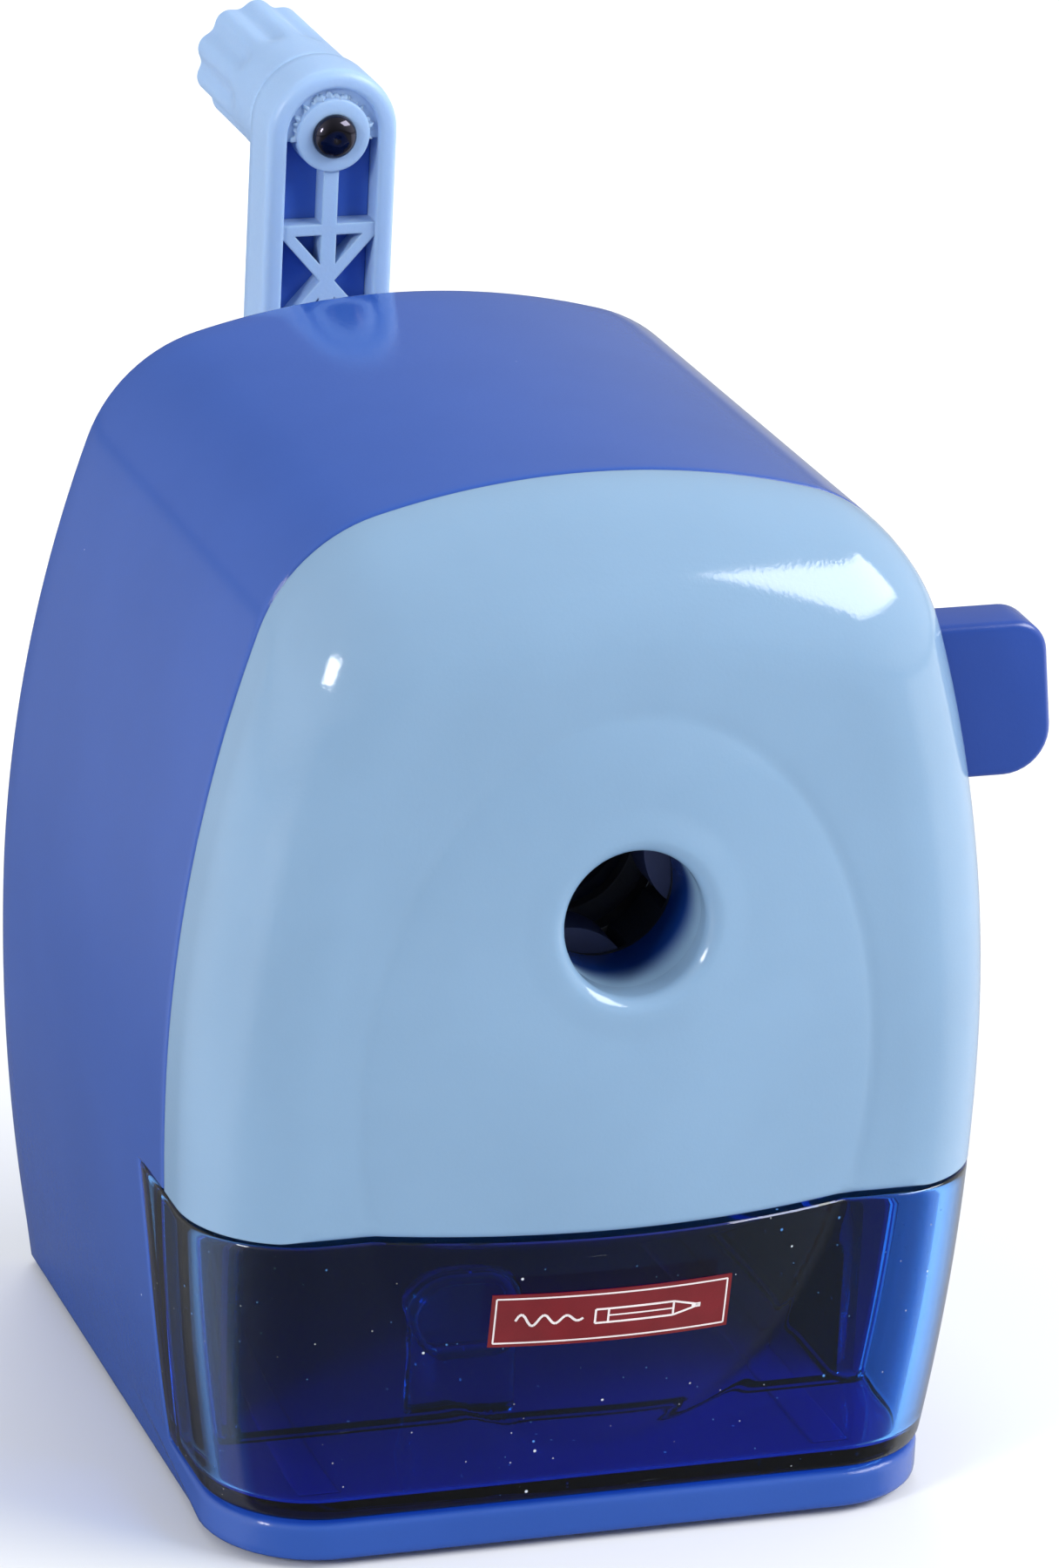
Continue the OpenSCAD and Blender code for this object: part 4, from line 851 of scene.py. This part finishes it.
# ---- Drawer ----
def drawer():
    top = drawer_hi[2]
    tray_half = 32.4
    tray_y0 = Y_FRONT + WRAP_D - 3.2
    tray_y1 = drawer_hi[1]
    sheet = 1.6
    gap = 0.35
    n_front = 100
    n_corner = 14

    def front_curve(z, t):
        """Plan curve of the front from the left side's tangent point to the right one, inset by t."""
        half = float(side_x(z, t))
        r = EDGE_R - t
        left = [(-half + r - r * math.cos(a), Y_FRONT + t + r - r * math.sin(a))
                for a in np.linspace(0, math.pi / 2, n_corner + 1)]
        x = np.linspace(-half + r, half - r, n_front + 1)[1:-1]
        middle = np.column_stack([x, np.full(len(x), Y_FRONT + t)])
        points = np.concatenate([left, middle, np.array(left[::-1]) * (-1, 1)])
        points[:, 1] -= dome(points[:, 0], z) * np.clip((Y_FRONT + EDGE_R - points[:, 1]) / EDGE_R, 0, 1)
        return points

    def outer_plan(z, grow=0.0):
        half = float(side_x(z))
        y_wrap = Y_FRONT + float(wrap_at(max(z, DRAWER_Z))) - gap
        inner_x = half - WALL
        back = [(half, y_wrap - 0.5), (half - 0.15, y_wrap - 0.15), (half - 0.5, y_wrap),
                (inner_x + 0.4, y_wrap), (inner_x, y_wrap - 0.4), (inner_x, tray_y0 + sheet + 0.5),
                (inner_x - 0.5, tray_y0 + sheet), (tray_half + 0.8, tray_y0 + sheet),
                (tray_half, tray_y0 + sheet + 0.8), (tray_half, tray_y1 - 3)]
        corner = [(tray_half - 3 + 3 * math.cos(a), tray_y1 - 3 + 3 * math.sin(a))
                  for a in np.linspace(0, math.pi / 2, 7)[1:]]
        right = np.array(back + corner)
        left = right[::-1] * (-1, 1)
        side = [(-half, y_wrap - 0.5 + (Y_FRONT + EDGE_R - y_wrap + 0.5) * k / 6) for k in range(1, 6)]
        side = np.array(side)
        return np.concatenate([front_curve(z, 0), side[::-1] * (-1, 1), right, left, side])

    def inner_plan(z):
        half = float(side_x(z)) - WALL
        inner_half = tray_half - sheet
        back = [(half, tray_y0 - 0.5), (half, tray_y0 - 0.35), (half - 0.15, tray_y0 - 0.15),
                (half - 0.35, tray_y0), (half - 0.5, tray_y0), (inner_half + 1.2, tray_y0),
                (inner_half + 0.9, tray_y0 + 0.1), (inner_half + 0.4, tray_y0 + 0.5),
                (inner_half, tray_y0 + 1.2), (inner_half, tray_y1 - 3)]
        corner = [(inner_half - 1.4 + 1.4 * math.cos(a), tray_y1 - 3 + 1.4 * math.sin(a))
                  for a in np.linspace(0, math.pi / 2, 7)[1:]]
        right = np.array(back + corner)
        left = right[::-1] * (-1, 1)
        y_side = tray_y0 - 0.5
        side = [(-half, y_side + (Y_FRONT + EDGE_R - y_side) * k / 6) for k in range(1, 6)]
        side = np.array(side)
        return np.concatenate([front_curve(z, WALL), side[::-1] * (-1, 1), right, left, side])

    def ring(plan, z):
        return np.column_stack([plan, np.full(len(plan), z)])

    foot_r = 0.7
    rim_r = 0.4
    rings = []
    for k in range(4):
        a = math.pi / 2 * k / 3
        z = DRAWER_Z + foot_r * (1 - math.cos(a))
        rings.append(ring(inset(outer_plan(z), foot_r * (1 - math.sin(a))), z))
    for z in np.linspace(DRAWER_Z + foot_r, top - rim_r, 46)[1:]:
        rings.append(ring(outer_plan(z), z))
    for k in range(1, 4):
        a = math.pi / 2 * k / 3
        z = top - rim_r * (1 - math.sin(a))
        rings.append(ring(inset(outer_plan(z), rim_r * (1 - math.cos(a))), z))
    for k in range(4):
        a = math.pi / 2 * k / 3
        z = top - rim_r * (1 - math.cos(a))
        rings.append(ring(inset(inner_plan(z), -rim_r * (1 - math.sin(a))), z))
    floor = DRAWER_Z + 1.1
    for z in np.linspace(top - rim_r, floor + 1.0, 44)[1:]:
        rings.append(ring(inner_plan(z), z))
    for k in range(1, 5):
        a = math.pi / 2 * k / 4
        z = floor + 1.0 * (1 - math.sin(a))
        rings.append(ring(inset(inner_plan(floor + 1.0), 1.0 * (1 - math.cos(a))), z))
    obj = mesh_object("shavings_drawer", [skin(rings, caps=True)])
    place(obj, "drawer", finishes["clear_blue"], ["drawer"])

    # Tongue standing inside the front
    tongue = [(-13.3, floor + 0.02), (-1.6, floor + 0.02), (-1.6, 21.65), (-13.3, 21.65)]
    tongue = slab(rounded(tongue, [0.3, 0.3, 4.6, 4.6], 8), Y_FRONT + 19.2, Y_FRONT + 20.9, 0.8, 5)
    bead = rounded([(-13.4, 12.4), (-1.5, 12.4), (-1.5, 21.75), (-13.4, 21.75)], [4.2, 3.0, 3.4, 4.8], 8)
    turn = np.linspace(0, 2 * math.pi, 14, endpoint=False)
    rings = []
    for a in turn:
        o = inset(bead, 0.85 - 0.85 * math.cos(a))
        rings.append(np.column_stack([o[:, 0], np.full(len(o), Y_FRONT + 19.2 - 0.85 * math.sin(a)), o[:, 1]]))
    loop = skin(rings, loop=True)
    place(mesh_object("drawer_tongue", [tongue, loop]), "drawer", finishes["clear_blue"])


# ---- Label ----
def label():
    low, high = label_lo, label_hi
    cx, cz = (low[0] + high[0]) / 2, (low[2] + high[2]) / 2 - 0.3
    half_w, half_h = 12.0, 2.85

    def at(u, v, lift):
        """A point of the label: u and v run along and up it, lift stands off the drawer."""
        x, z = cx + u, cz + v
        h = float(dome(np.array(x), np.array(z)))
        y = Y_FRONT - h
        nx = 2 * DOME_RISE * x / DOME_A ** 2
        nz = 2 * DOME_RISE * (z - DOME_Z) / DOME_B ** 2
        n = np.array([nx, -1.0, nz])
        return np.array([x, y, z]) + n / np.linalg.norm(n) * lift

    def sheet(outline, low_lift, high_lift, fill=0):
        """A thin plate with the given outline, bent onto the label's surface."""
        rings = [[at(u, v, low_lift) for u, v in outline], [at(u, v, high_lift) for u, v in outline]]
        return skin(rings, caps=True)

    def grid_sheet(w, h, low_lift, high_lift, nu, nv):
        us, vs = np.linspace(-w, w, nu + 1), np.linspace(-h, h, nv + 1)
        points, faces = [], []
        for lift in (low_lift, high_lift):
            points += [at(u, v, lift) for v in vs for u in us]
        m = (nu + 1) * (nv + 1)
        for j in range(nv):
            for i in range(nu):
                a = j * (nu + 1) + i
                quad = (a, a + 1, a + nu + 2, a + nu + 1)
                faces.append(quad)
                faces.append(tuple(m + q for q in quad[::-1]))
        border = [i for i in range(nu + 1)]
        border += [j * (nu + 1) + nu for j in range(1, nv + 1)]
        border += [nv * (nu + 1) + i for i in range(nu - 1, -1, -1)]
        border += [j * (nu + 1) for j in range(nv - 1, 0, -1)]
        for k, a in enumerate(border):
            b = border[(k + 1) % len(border)]
            faces.append((a, m + a, m + b, b))
        return np.array(points), faces

    film = mesh_object("drawer_label_film", [grid_sheet(half_w, half_h, 0.02, 0.16, 48, 8)])
    place(film, "drawer", finishes["label_red"], ["drawer_label"])

    def stroke(p, q, width):
        """A printed line from p to q, in short lengths that follow the bend."""
        p, q = np.array(p, float), np.array(q, float)
        d = (q - p) / np.linalg.norm(q - p)
        n = np.array([-d[1], d[0]]) * width / 2
        count = max(1, int(np.linalg.norm(q - p) / 0.8))
        rings = []
        for k in range(count + 1):
            c = p + (q - p) * k / count
            rings.append([at(*(c - n), 0.15), at(*(c + n), 0.15), at(*(c + n), 0.19), at(*(c - n), 0.19)])
        return skin(rings, caps=True)

    line = 0.16
    w, h = half_w - 0.45, half_h - 0.42
    parts = [stroke((-w, -h), (w, -h), line), stroke((w, -h), (w, h), line),
             stroke((w, h), (-w, h), line), stroke((-w, h), (-w, -h), line)]
    # A plain pencil pictogram with a wavy pencil line behind it
    t = 0.75
    tip, neck, tail = 8.9, 6.1, -1.8
    parts += [stroke((tail, t), (neck, t), 0.2), stroke((tail, -t), (neck, -t), 0.2),
              stroke((neck, t), (tip, 0), 0.2), stroke((neck, -t), (tip, 0), 0.2),
              stroke((neck, t), (neck, -t), 0.2), stroke((tail, t), (tail, -t), 0.2),
              stroke((tail + 1.3, t), (tail + 1.3, -t), 0.2), stroke((tail + 1.3, 0.0), (neck, 0.0), 0.14),
              stroke((tip - 0.9, 0.0), (tip, 0.0), 0.45)]
    wave = [(-9.6 + 0.3 * k, 0.75 * math.sin(k * 0.85) * (1 - k / 34)) for k in range(23)]
    parts += [stroke(wave[k], wave[k + 1], 0.24) for k in range(len(wave) - 1)]
    place(mesh_object("drawer_label_print", parts), "drawer", finishes["label_ink"])


# ---- Release button ----
def release_button():
    z0, z1 = button_lo[2], button_hi[2]
    y0 = button_lo[1]
    y1 = y0 + 5.8
    x1 = button_hi[0]
    tab = rounded([(24.5, z0), (x1 + 0.05, z0), (x1 - 1.75, z1), (24.5, z1)], [1, 4.5, 3.5, 1], 10)
    parts = [slab(tab, y0, y1, 0.7, 5)]
    # Yoke inside, with the window that drives the cam ring's pin
    yoke_y0, yoke_y1 = button_hi[1] - 2.4, button_hi[1]
    yoke_z0, yoke_z1 = PENCIL_Z + 14, PENCIL_Z + 22
    pin_x0 = 2.2
    bars = [((-0.5, yoke_z0), (pin_x0, yoke_z1)), ((5.8, yoke_z0), (30.4, yoke_z1)),
            ((1.6, yoke_z0), (6.4, yoke_z0 + 1.4))]
    for (xa, za), (xb, zb) in bars:
        parts.append(box_solid((xa, yoke_y0, za), (xb, yoke_y1, zb), 0.2))
    parts.append(box_solid((25.5, y1 - 1.6, yoke_z0 + 0.5), (30.4, yoke_y0 + 0.6, yoke_z1 - 0.5), 0.2))
    obj = mesh_object("push_button", parts)
    place(obj, "release_button", finishes["deep_blue"], ["release_button"])


# ---- Crank ----
def stadium(r, n=36):
    """Outline of a bar with round ends, from the crank's axis to the grip's pin."""
    low = [(r * math.cos(a), PENCIL_Z + r * math.sin(a)) for a in np.linspace(-math.pi, 0, n)]
    high = [(r * math.cos(a), PIN_Z + r * math.sin(a)) for a in np.linspace(0, math.pi, n)]
    span = PIN_Z - PENCIL_Z
    right = [(r, PENCIL_Z + span * k / 16) for k in range(1, 16)]
    left = [(-r, PIN_Z - span * k / 16) for k in range(1, 16)]
    return np.array(low + right + high + left)


def crank_arm():
    half = arm_hi[0]
    y0, y1 = arm_hi[1] - 7.0, arm_hi[1]
    y_hub = arm_lo[1]
    rim = 2.0
    floor_t = 1.5
    rows = [(0.5, y1), (0.2, y1 - 0.12), (0.0, y1 - 0.5)]
    rows += [(0.0, y1 - 0.5 + (y0 + 1.0 - y1 + 0.5) * k / 5) for k in range(1, 6)]
    rows += [(1.0 * (1 - math.cos(a)), y0 + 1.0 * (1 - math.sin(a))) for a in np.linspace(0, math.pi / 2, 7)[1:]]
    rows += [(rim - 0.5 + 0.5 * math.sin(a), y0 + 0.5 * (1 - math.cos(a))) for a in np.linspace(0, math.pi / 2, 5)]
    rows += [(rim, y1 - floor_t), (rim, y1 - 0.2), (rim - 0.2, y1)]
    rings = []
    for t, y in rows:
        o = stadium(half - t)
        rings.append(np.column_stack([o[:, 0], np.full(len(o), y), o[:, 1]]))
    shell = mesh_object("arm_tool", [skin(rings, loop=True)])

    def add(solid):
        combine(shell, mesh_object("arm_add", [solid]), "UNION")

    def half_plane(poly, point, normal):
        """The part of a convex outline on the side of a line that its normal points away from."""
        out = []
        for i, p in enumerate(poly):
            q = poly[(i + 1) % len(poly)]
            dp, dq = np.dot(p - point, normal), np.dot(q - point, normal)
            if dp <= 0:
                out.append(p)
            if dp * dq < 0:
                out.append(p + (q - p) * dp / (dp - dq))
        return out

    # A plate across the hollow, pierced by the pockets between its ribs
    inside = half - rim
    rib_t, thin_t = 1.6, 1.15
    rib_y0, rib_y1 = y0 + 0.5, y1 - floor_t
    cell = 11.0
    first = PIN_Z - 10.1
    wall_x = inside + 0.25
    lattice = [(-wall_x, PENCIL_Z + 5.5), (wall_x, PENCIL_Z + 5.5), (wall_x, PIN_Z - 0.6), (-wall_x, PIN_Z - 0.6)]
    lattice = mesh_object("arm_lattice", [slab(np.array(lattice), rib_y0, rib_y1, 0.05, 1)])
    pockets = []
    for s in (-1, 1):
        x_in, x_out = s * rib_t / 2, s * inside
        pockets.append([(x_in, first + thin_t / 2), (x_out, first + thin_t / 2), (x_out, PIN_Z + 2), (x_in, PIN_Z + 2)])
    for k in range(3):
        top, foot = first - k * cell - thin_t / 2, first - (k + 1) * cell + thin_t / 2
        frame_box = [np.array(q) for q in ((-inside, foot), (inside, foot), (inside, top), (-inside, top))]
        middle = np.array([0, (top + foot) / 2])
        across = np.array([2 * inside, cell]) / math.hypot(2 * inside, cell)
        normals = [np.array([1.0, 0.0]), np.array([-across[1], across[0]]), np.array([across[1], across[0]])]
        for signs in range(8):
            poly = frame_box
            for i, n in enumerate(normals):
                n = n if signs >> i & 1 else -n
                poly = half_plane(poly, middle - n * (thin_t if i else rib_t) / 2, n) if poly else poly
            if len(poly) >= 3:
                xz = np.array(poly)
                turned_on = np.roll(xz, -1, 0)
                area = abs(np.sum(xz[:, 0] * turned_on[:, 1] - turned_on[:, 0] * xz[:, 1])) / 2
                if area > 1.0 and foot > PENCIL_Z + 6:
                    pockets.append(poly)
    holes = []
    for poly in pockets:
        poly = np.array(poly, float)
        holes.append(skin([np.column_stack([poly[:, 0], np.full(len(poly), y), poly[:, 1]])
                           for y in (rib_y0 - 1, rib_y1 + 1)], caps=True))
    combine(lattice, mesh_object("arm_holes", holes), "DIFFERENCE")
    combine(shell, lattice, "UNION")
    # Shallow floor above the pin, where the arm is closed
    cap = [((inside + 0.3) * math.cos(a), PIN_Z + (inside + 0.3) * math.sin(a))
           for a in np.linspace(-0.12, math.pi + 0.12, 40)]
    add(slab(np.array(cap), y0 + 0.8, y1 - 0.01, 0.05, 1))
    boss = 3.9
    add(lathe([(2.02, y1 - 0.03), (2.02, y0 + 0.3), (2.3, y0 + 0.05), (boss - 0.4, y0), (boss - 0.1, y0 + 0.1),
               (boss, y0 + 0.4), (boss + 0.05, y1 - 0.03)], (0, PIN_Z), 64))
    hub = 6.8
    add(lathe([(1.55, y1 - 0.02), (1.55, y1 - floor_t), (3.02, y1 - floor_t), (3.02, y_hub), (hub - 0.4, y_hub),
               (hub, y_hub + 0.4), (hub, y1 - 0.3), (hub - 0.3, y1)], (0, PENCIL_Z), 72))
    shell.name = "crank_arm_shell"
    place(shell, "crank", finishes["arm_blue"], ["crank_arm"])

    # Rough moulding flash round the pin's boss
    rng = np.random.default_rng(7)
    count = 90
    angles = np.linspace(math.radians(-8), math.radians(188), count)

    def ragged(scale, window):
        raw = rng.normal(0, 1, count + window)
        return np.convolve(raw, np.ones(window) / window, "valid")[:count] * scale

    y_floor = y0 + 1.0
    outer_r = np.minimum(4.35 + ragged(0.55, 3), inside - 0.08)
    tall = np.clip(0.6 + ragged(0.4, 3), 0.3, 0.95)
    rings = []
    for a, r, h in zip(angles, outer_r, tall):
        rings.append([(q * math.cos(a), y, PIN_Z + q * math.sin(a)) for q, y in (
            (3.7, y_floor), (r, y_floor), (r - 0.12, y_floor - h * 0.8), (3.75, y_floor - h))])
    flash = mesh_object("arm_moulding_flash", [skin(rings, caps=True)], 60)
    place(flash, "crank", finishes["arm_blue"])

    # Blue cover that closes the hollow from behind
    rim_line = [np.array(q) for q in stadium(inside - 0.02)]
    cover = np.array(half_plane(rim_line, np.array([0, PIN_Z - 0.6]), np.array([0, 1.0])))
    cover = mesh_object("arm_back_cover", [slab(cover, y0 + 3.0, y1 - 0.01, 0.05, 1)])
    # The cover's finish is a paler copy of deep_blue, with painted light for the hollow's shade
    place(cover, "crank", finishes["cover_painted_light"], ["arm_cover"])


def grip_pin():
    low, high = node_box("grip_pin")
    y_head = low[1]
    head_r = 2.3
    t = [math.pi / 2 * k / 8 for k in range(9)]
    dome_pts = [(0.02, y_head + 0.18), (0.22, y_head + 0.06), (0.5, y_head + 0.01)]
    dome_pts += [(0.7 + (head_r - 0.7) * math.sin(a), y_head + 1.15 * (1 - math.cos(a))) for a in t[1:]]
    profile = dome_pts + [(head_r - 0.15, y_head + 1.35), (2.0, y_head + 1.45), (2.0, high[1] - 0.5), (1.6, high[1]), (0.02, high[1])]
    obj = mesh_object("grip_rivet", [turned(profile, (0, PIN_Z), 72)])
    place(obj, "crank", finishes["pin_steel"], ["grip_pin"])


def grip():
    y0, y1 = grip_lo[1], grip_hi[1]
    radius = (grip_hi[0] - grip_lo[0]) / 2 - 0.2
    lobes = 10
    deep = 0.62
    count = 240
    t = np.linspace(0, 2 * math.pi, count, endpoint=False)
    valley = (0.5 + 0.5 * np.cos(lobes * t)) ** 1.3

    def ring(inward, y, share):
        r = radius - inward - deep * share * valley
        return np.column_stack([r * np.cos(t), np.full(count, y), PIN_Z + r * np.sin(t)])

    rings = []
    for k in range(5):
        a = math.pi / 2 * k / 4
        rings.append(ring(0.6 * (1 - math.sin(a)), y0 + 0.6 * (1 - math.cos(a)), 0))
    for f in np.linspace(0, 1, 26)[1:]:
        y = y0 + 0.6 + (y1 - 0.7 - y0 - 0.6) * f
        rings.append(ring(0.0, y, float(smooth((y - y0 - 6.0) / 3.5))))
    for k in range(1, 8):
        a = math.pi / 2 * k / 7
        rings.append(ring(0.7 * (1 - math.cos(a)), y1 - 0.7 * (1 - math.sin(a)), 1 - 0.15 * k / 7))
    for k in range(1, 6):
        inward = 0.7 + (radius - 0.7 - 2.4) * k / 5
        rings.append(ring(inward, y1 - 0.02, max(0.0, 0.85 - 0.2 * k)))
    # Shallow dimple in the end, then the blind bore for the pin
    r_last = radius - inward
    circle = lambda r, y: np.column_stack([r * np.cos(t), np.full(count, y), PIN_Z + r * np.sin(t)])
    rings.append(circle(r_last - 0.4, y1 - 0.1))
    rings.append(circle(0.9, y1 - 0.45))
    rings.append(circle(0.15, y1 - 0.5))
    bore = [circle(0.15, y1 - 5.0), circle(2.0, y1 - 5.0), circle(2.05, y0 + 0.3), circle(2.35, y0)]
    outer = skin(rings + bore, loop=True)
    obj = mesh_object("crank_grip", [outer], 40)
    place(obj, "grip", finishes["arm_blue"], ["grip"])


# ---- Springs ----
def coil(name, body, start, end, radius, wire, turns, joint, keep, anchor, axis, stands_for):
    """A closed-end helical spring between two points."""
    start, end = np.array(start, float), np.array(end, float)
    length = np.linalg.norm(end - start)
    w = (end - start) / length
    u = np.array([0, 0, 1.0]) if abs(w[2]) < 0.9 else np.array([1.0, 0, 0])
    v = np.cross(w, u)
    steps = int(turns * 28)
    rings = []
    for i in range(steps + 1):
        f = i / steps
        turn = f * turns
        ease = wire * min(turn, 1.5) * 2 + (length - 2 * 3 * wire) * np.clip((turn - 1.5) / (turns - 3), 0, 1)
        ease += wire * 2 * max(0, turn - (turns - 1.5))
        a = 2 * math.pi * turn
        out = u * math.cos(a) + v * math.sin(a)
        centre = start + w * (ease * 0.985 + wire) + out * radius
        rings.append([centre + wire * (out * math.cos(b) + w * math.sin(b))
                      for b in np.linspace(0, 2 * math.pi, 10, endpoint=False)])
    return skin(rings, caps=True)


def springs():
    low, high = node_box("feed_springs")
    x = node_box("guide_rods")[1][0] - 2
    z = (low[2] + high[2]) / 2
    parts = [coil("", "", (s * x, low[1], z), (s * x, high[1], z), 2.9, 0.42, 12, "", 0, 0, 0, "") for s in (-1, 1)]
    obj = mesh_object("feed_spring_coils", parts)
    place(obj, "feed_carriage", finishes["spring_steel"], ["feed_springs"])
    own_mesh(obj)
    low, high = node_box("button_spring")
    y, z = (low[1] + high[1]) / 2, (low[2] + high[2]) / 2
    obj = mesh_object("button_spring_coil", [coil(
        "", "", (low[0], y, z), (high[0], y, z), 1.25, 0.28, 9, "", 0, 0, 0, "")])
    place(obj, "feed_carriage", finishes["spring_steel"], ["button_spring"])
    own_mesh(obj)


# ---- Stage ----
def studio():
    scene = bpy.context.scene
    world = bpy.data.worlds.new("studio")
    scene.world = world
    world.use_nodes = True
    tree = world.node_tree
    background = tree.nodes["Background"]
    background.inputs[0].default_value = (0.95, 0.97, 1.0, 1)

    def world_math(operation, a, b):
        node = tree.nodes.new("ShaderNodeMath")
        node.operation = operation
        for i, v in enumerate((a, b)):
            if isinstance(v, bpy.types.NodeSocket):
                tree.links.new(v, node.inputs[i])
            else:
                node.inputs[i].default_value = v
        return node.outputs[0]

    # Brighter at both sides and overhead than in front
    direction = tree.nodes.new("ShaderNodeSeparateXYZ")
    tree.links.new(tree.nodes.new("ShaderNodeTexCoord").outputs["Generated"], direction.inputs[0])
    side = world_math("MULTIPLY", world_math("POWER", world_math("ABSOLUTE", direction.outputs[0], 0), 2), 1.1)
    overhead = world_math("MULTIPLY", world_math("MAXIMUM", direction.outputs[2], 0), 0.30)
    strength = world_math("ADD", world_math("ADD", side, overhead), 0.155)
    tree.links.new(strength, background.inputs[1])
    scene.view_settings.view_transform = "Standard"

    floor_s = Shader("floor")
    tone = floor_s.mix(floor_s.ramp(floor_s.noise(3, 3), 0.3, 0.7), (0.80, 0.81, 0.83, 1), (0.84, 0.85, 0.86, 1))
    # In mirror reflections the floor is dark in front of and behind the object, like the studio
    seen = floor_s.add("ShaderNodeLightPath")
    away = floor_s.add("ShaderNodeSeparateXYZ", {"Vector": floor_s.add("ShaderNodeNewGeometry").outputs["Incoming"]})
    across = floor_s.math("ABSOLUTE", away.outputs["X"])
    front = floor_s.math("MULTIPLY", floor_s.ramp(away.outputs["Y"], 0, 0.15), floor_s.ramp(across, 0.8, 0.92, 0.85, 0.0))
    dark = floor_s.math("MAXIMUM", front, floor_s.ramp(across, 0.25, 0.85, 0.85, 0.0))
    dark = floor_s.math("MULTIPLY", seen.outputs["Is Glossy Ray"], dark)
    tone = floor_s.mix(dark, tone, (0.02, 0.022, 0.025, 1))
    floor_s.tree.links.new(tone, floor_s.bsdf.inputs["Base Color"])
    floor_s.bsdf.inputs["Roughness"].default_value = 0.6
    half = 4000
    floor = mesh_object("floor", [(np.array([(-half, -half, 0), (half, -half, 0), (half, half, 0), (-half, half, 0)]),
                                   [(0, 1, 2, 3)])])
    floor.data.materials.append(floor_s.material)

    target = Vector((0, 0, 0.055))

    def softbox(name, place_mm, size_mm, power, shape="RECTANGLE", tint=(1, 1, 1)):
        data = bpy.data.lights.new(name, "AREA")
        data.shape = shape
        data.size, data.size_y = size_mm[0] * MM, size_mm[1] * MM
        data.energy = power
        data.color = tint
        lamp = bpy.data.objects.new(name, data)
        lamp.location = Vector(place_mm) * MM
        lamp.rotation_euler = (target - lamp.location).to_track_quat("-Z", "Y").to_euler()
        scene.collection.objects.link(lamp)
        return lamp

    softbox("key", (820, -400, 740), (860, 450), 12.5)
    softbox("side", (-900, -500, 500), (200, 260), 5)
    softbox("back", (100, 900, 900), (700, 500), 6).visible_glossy = False

    # Camera: azimuth, elevation and roll of the view, its focal length and what it frames
    azimuth, elevation, bank = math.radians(-19.43), math.radians(22.17), math.radians(2.86)
    focal_px, distance = 9707.0, 832.5
    off_x, off_y = 52.7, -194.85
    aim = Vector((0, 2.2, 45)) * MM
    back = Vector((math.sin(azimuth) * math.cos(elevation), -math.cos(azimuth) * math.cos(elevation),
                   math.sin(elevation)))
    right0 = Vector((math.cos(azimuth), math.sin(azimuth), 0))
    up0 = back.cross(right0)
    right = right0 * math.cos(bank) + up0 * math.sin(bank)
    up = -right0 * math.sin(bank) + up0 * math.cos(bank)
    ahead = (right * off_x / focal_px - up * off_y / focal_px - back).normalized()
    new_back = -ahead
    new_right = up.cross(new_back).normalized()
    new_up = new_back.cross(new_right)
    camera = bpy.data.objects.new("camera", bpy.data.cameras.new("camera"))
    camera.data.sensor_width = 36.0
    camera.data.lens = focal_px * 36.0 / 1800
    spot = aim + back * distance * MM
    camera.matrix_world = Matrix((
        (new_right.x, new_up.x, new_back.x, spot.x),
        (new_right.y, new_up.y, new_back.y, spot.y),
        (new_right.z, new_up.z, new_back.z, spot.z),
        (0, 0, 0, 1)))
    camera.data.clip_start, camera.data.clip_end = 0.05, 20
    scene.collection.objects.link(camera)
    scene.camera = camera


slots = {part["node"]: part["material_slot"] for part in frame["record"]["subparts"]}
# arm_cover takes a paler copy of deep_blue with painted light
# the jaws take a lighter, bluer copy of dark_plastic with painted light
looks = {"arm_cover": "cover_painted_light", "jaw_1": "jaw_painted_light", "jaw_2": "jaw_painted_light", "jaw_3": "jaw_painted_light"}
for node, obj in frame["nodes"].items():
    obj.data.materials.clear()
    obj.data.materials.append(finishes[looks.get(node, slots[node])])
face_plate()
housing()
drawer()
label()
release_button()
crank_arm()
grip_pin()
grip()
springs()
studio()
